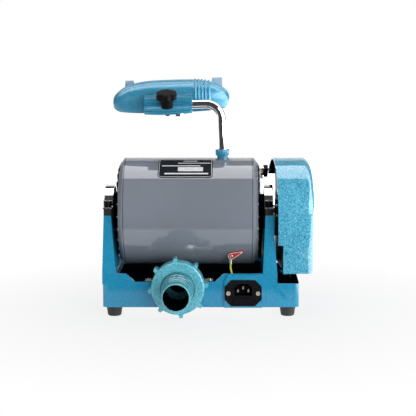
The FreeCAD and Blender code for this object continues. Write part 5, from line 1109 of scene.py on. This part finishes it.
class LATHE_OT_plate(LatheOperator):
    """The rating plate on the shell, without words: slate ground, border, field and plain bars"""
    bl_idname = "lathe.plate"
    bl_label = "Rating plate"

    def execute(self, context):
        sizes = context.scene.lathe_sizes
        half = (sizes.plate_width / 2, sizes.plate_height / 2)
        corner = sizes.plate_corner
        ground, ink = finish_of("plate_slate"), finish_of("plate_white")
        mesh = shell_patch("bare_plate", sizes, (0.0, 0.0), half, corner, -0.0002, 0.0005)
        add_piece(mesh, "machine", "black_plastic", finish=ground)
        inset = (half[0] - 0.0012, half[1] - 0.0012)
        mesh = shell_frame("plate_border", sizes, (0.0, 0.0), inset, corner - 0.0012, 0.0005,
                           0.0004, 0.00058)
        add_piece(mesh, "machine", "white_plastic", finish=ink)
        bars = {
            "plate_field": (0.0070, -0.0059, 0.0172, 0.0044),
            "plate_rule_1": (0.0063, 0.0153, 0.0095, 0.0008),
            "plate_rule_2": (0.0120, 0.0088, 0.0225, 0.0009),
            "plate_rule_3": (-0.0060, 0.0016, 0.0265, 0.0010),
            "plate_rule_4": (0.0015, -0.0149, 0.0300, 0.0012),
        }
        for name, (x, around, half_width, half_height) in bars.items():
            mesh = shell_patch(name, sizes, (x, around), (half_width, half_height), 0.0006, 0.0004,
                               0.00058)
            add_piece(mesh, "machine", "white_plastic", finish=ink)
        return {"FINISHED"}


class LATHE_OT_stage(LatheOperator):
    """Floor, backdrop light, lamps and camera"""
    bl_idname = "lathe.stage"
    bl_label = "Studio"

    def execute(self, context):
        studio = context.scene.lathe_studio
        self.floor()
        self.world(studio, context.scene)
        self.lamp("front_light", (0.85, -1.85, 0.42), (85, 0, 24), (1.4, 0.8), studio.front_level)
        self.lamp("top_light", (0.0, 0.29, 1.30), (0, 0, 0), (1.5, 0.9), studio.top_level)
        self.lamp("right_light", (1.15, -0.30, 0.45), (90, 0, 75), (0.5, 0.9), studio.right_level)
        self.lamp("left_light", (-1.15, -0.45, 0.45), (90, 0, -68), (0.4, 0.8), studio.left_level)
        camera = bpy.data.cameras.new("camera")
        camera.lens = studio.lens
        camera.sensor_width = 36.0
        camera.sensor_fit = "HORIZONTAL"
        camera.shift_x = studio.shift
        camera.clip_start = 0.05
        context.scene.camera = add_item("camera", camera, CAMERA, (studio.pitch, 0.0, 0.0))
        context.scene.view_settings.view_transform = "Standard"
        return {"FINISHED"}

    @staticmethod
    def floor():
        """A wide plane under the feet: white to the camera, with the object's own shadow. Gloss
        sees it bright under and behind the object, and brighter still on the right."""
        f = Finish("white_floor")
        seen, gloss = f.rays()
        plain = f.add("ShaderNodeBsdfDiffuse", {}, {"Color": (0.8, 0.8, 0.8, 1.0)})
        at = f.spot()
        table = f.span(f.split(at, "Y"), -0.25, -0.21, 0.07, 1.3)
        aside = f.span(f.split(at, "X"), 0.25, 0.35, 0.0, 6.0)
        table = table + aside * (f.split(at, "Y") > -0.6)
        away = f.add("ShaderNodeVectorMath", {"operation": "LENGTH"}, {0: at}, out="Value")
        share = f.span(away, 0.15, 0.45, 0.80, 1.0) * seen + gloss
        glow = f.add("ShaderNodeEmission", {}, {"Color": seen + gloss * table, "Strength": 1.0})
        mixed = f.add("ShaderNodeMixShader", {}, {0: share, 1: plain, 2: glow})
        f.add("ShaderNodeOutputMaterial", {}, {"Surface": mixed})
        corners = np.array([[(-4.0, -4.0, 0.0), (4.0, -4.0, 0.0)],
                            [(-4.0, 6.0, 0.0), (4.0, 6.0, 0.0)]])
        mesh = grid_mesh("floor", corners)
        mesh.flip_normals()
        mesh.materials.append(f.material)
        item = add_item("floor", mesh)

    @staticmethod
    def world(studio, scene):
        """White to the camera. Gloss sees a dim room with a white backdrop and three bright boxes,
        above, on the right and on the left, and everything else gets an even fill."""
        f = Finish("studio_world", world=True)
        seen, gloss = f.rays()
        ray = f.add("ShaderNodeTexCoord", out="Generated")
        x, y, z = (f.split(ray, part) for part in "XYZ")

        def box(ahead, low, high, first, rise_low, rise_high, second):
            """1 inside a rectangle on the plane one unit along ahead."""
            side, up = first / ahead, second / ahead
            inside = (side > low) * (side < high) * (up > rise_low) * (up < rise_high)
            return inside * (ahead > 0.05)

        top = box(z, -1.5, 1.5, x, -0.17, 0.60, y)
        right = box(x, -1.88, 0.1, y, -0.5, 0.9, z)
        left = box(x * -1.0, -2.3, -0.7, y, -0.4, 0.6, z)
        side = (x > 0.0) * (y > 0.0)
        behind = f.span(y, 0.78, 0.84)
        room = side * studio.side_level + studio.room_level
        room = room + behind * (1.0 - studio.side_level)
        room = room + top * studio.top_box + right * studio.right_box + left * studio.left_box
        fill = f.span(y, -1.0, 1.0, 1.5, 0.5) * studio.fill_level
        even = f.add("ShaderNodeMix", {"data_type": "FLOAT"}, {0: gloss, 2: fill, 3: room})
        level = f.add("ShaderNodeMix", {"data_type": "FLOAT"}, {0: seen, 2: even, 3: 1.0})
        glow = f.add("ShaderNodeBackground", {}, {"Color": level, "Strength": 1.0})
        f.add("ShaderNodeOutputWorld", {}, {"Surface": glow})
        scene.world = f.material

    @staticmethod
    def lamp(name, place, turn, size, power):
        """A plain soft box."""
        light = bpy.data.lights.new(name, "AREA")
        light.shape = "RECTANGLE"
        light.size, light.size_y = size
        light.energy = power
        item = add_item(name, light, place, [math.radians(step) for step in turn])
        item.visible_glossy = False


OPERATORS = (
    LATHE_OT_finishes, LATHE_OT_castings, LATHE_OT_motor, LATHE_OT_suction, LATHE_OT_inlet,
    LATHE_OT_hood, LATHE_OT_lamp_joint, LATHE_OT_trims, LATHE_OT_plate, LATHE_OT_stage,
)


class LATHE_PT_pieces(bpy.types.Panel):
    """Buttons for the lathe's pieces, and their sizes"""
    bl_idname = "LATHE_PT_pieces"
    bl_label = "Polishing lathe"
    bl_space_type = "VIEW_3D"
    bl_region_type = "UI"
    bl_category = "Lathe"

    def draw(self, context):
        layout = self.layout
        for operator in OPERATORS:
            layout.operator(operator.bl_idname)
        for group in SETTINGS:
            settings = getattr(context.scene, group)
            box = layout.box()
            for name in settings.__annotations__:
                box.prop(settings, name)


SETTINGS = {"lathe_sizes": LatheSizes, "lathe_colours": LatheColours, "lathe_studio": LatheStudio}
CLASSES = (*SETTINGS.values(), *OPERATORS, LATHE_PT_pieces)


def register():
    """Register the classes and hang the settings on the scene."""
    for item in CLASSES:
        bpy.utils.register_class(item)
    for name, group in SETTINGS.items():
        setattr(bpy.types.Scene, name, bpy.props.PointerProperty(type=group))


def unregister():
    """Take the settings and the classes away again."""
    for name in SETTINGS:
        delattr(bpy.types.Scene, name)
    for item in reversed(CLASSES):
        bpy.utils.unregister_class(item)


def main():
    """Make every piece in order."""
    register()
    for operator in OPERATORS:
        group, name = operator.bl_idname.split(".")
        getattr(getattr(bpy.ops, group), name)()


if __name__ == "__main__":
    main()
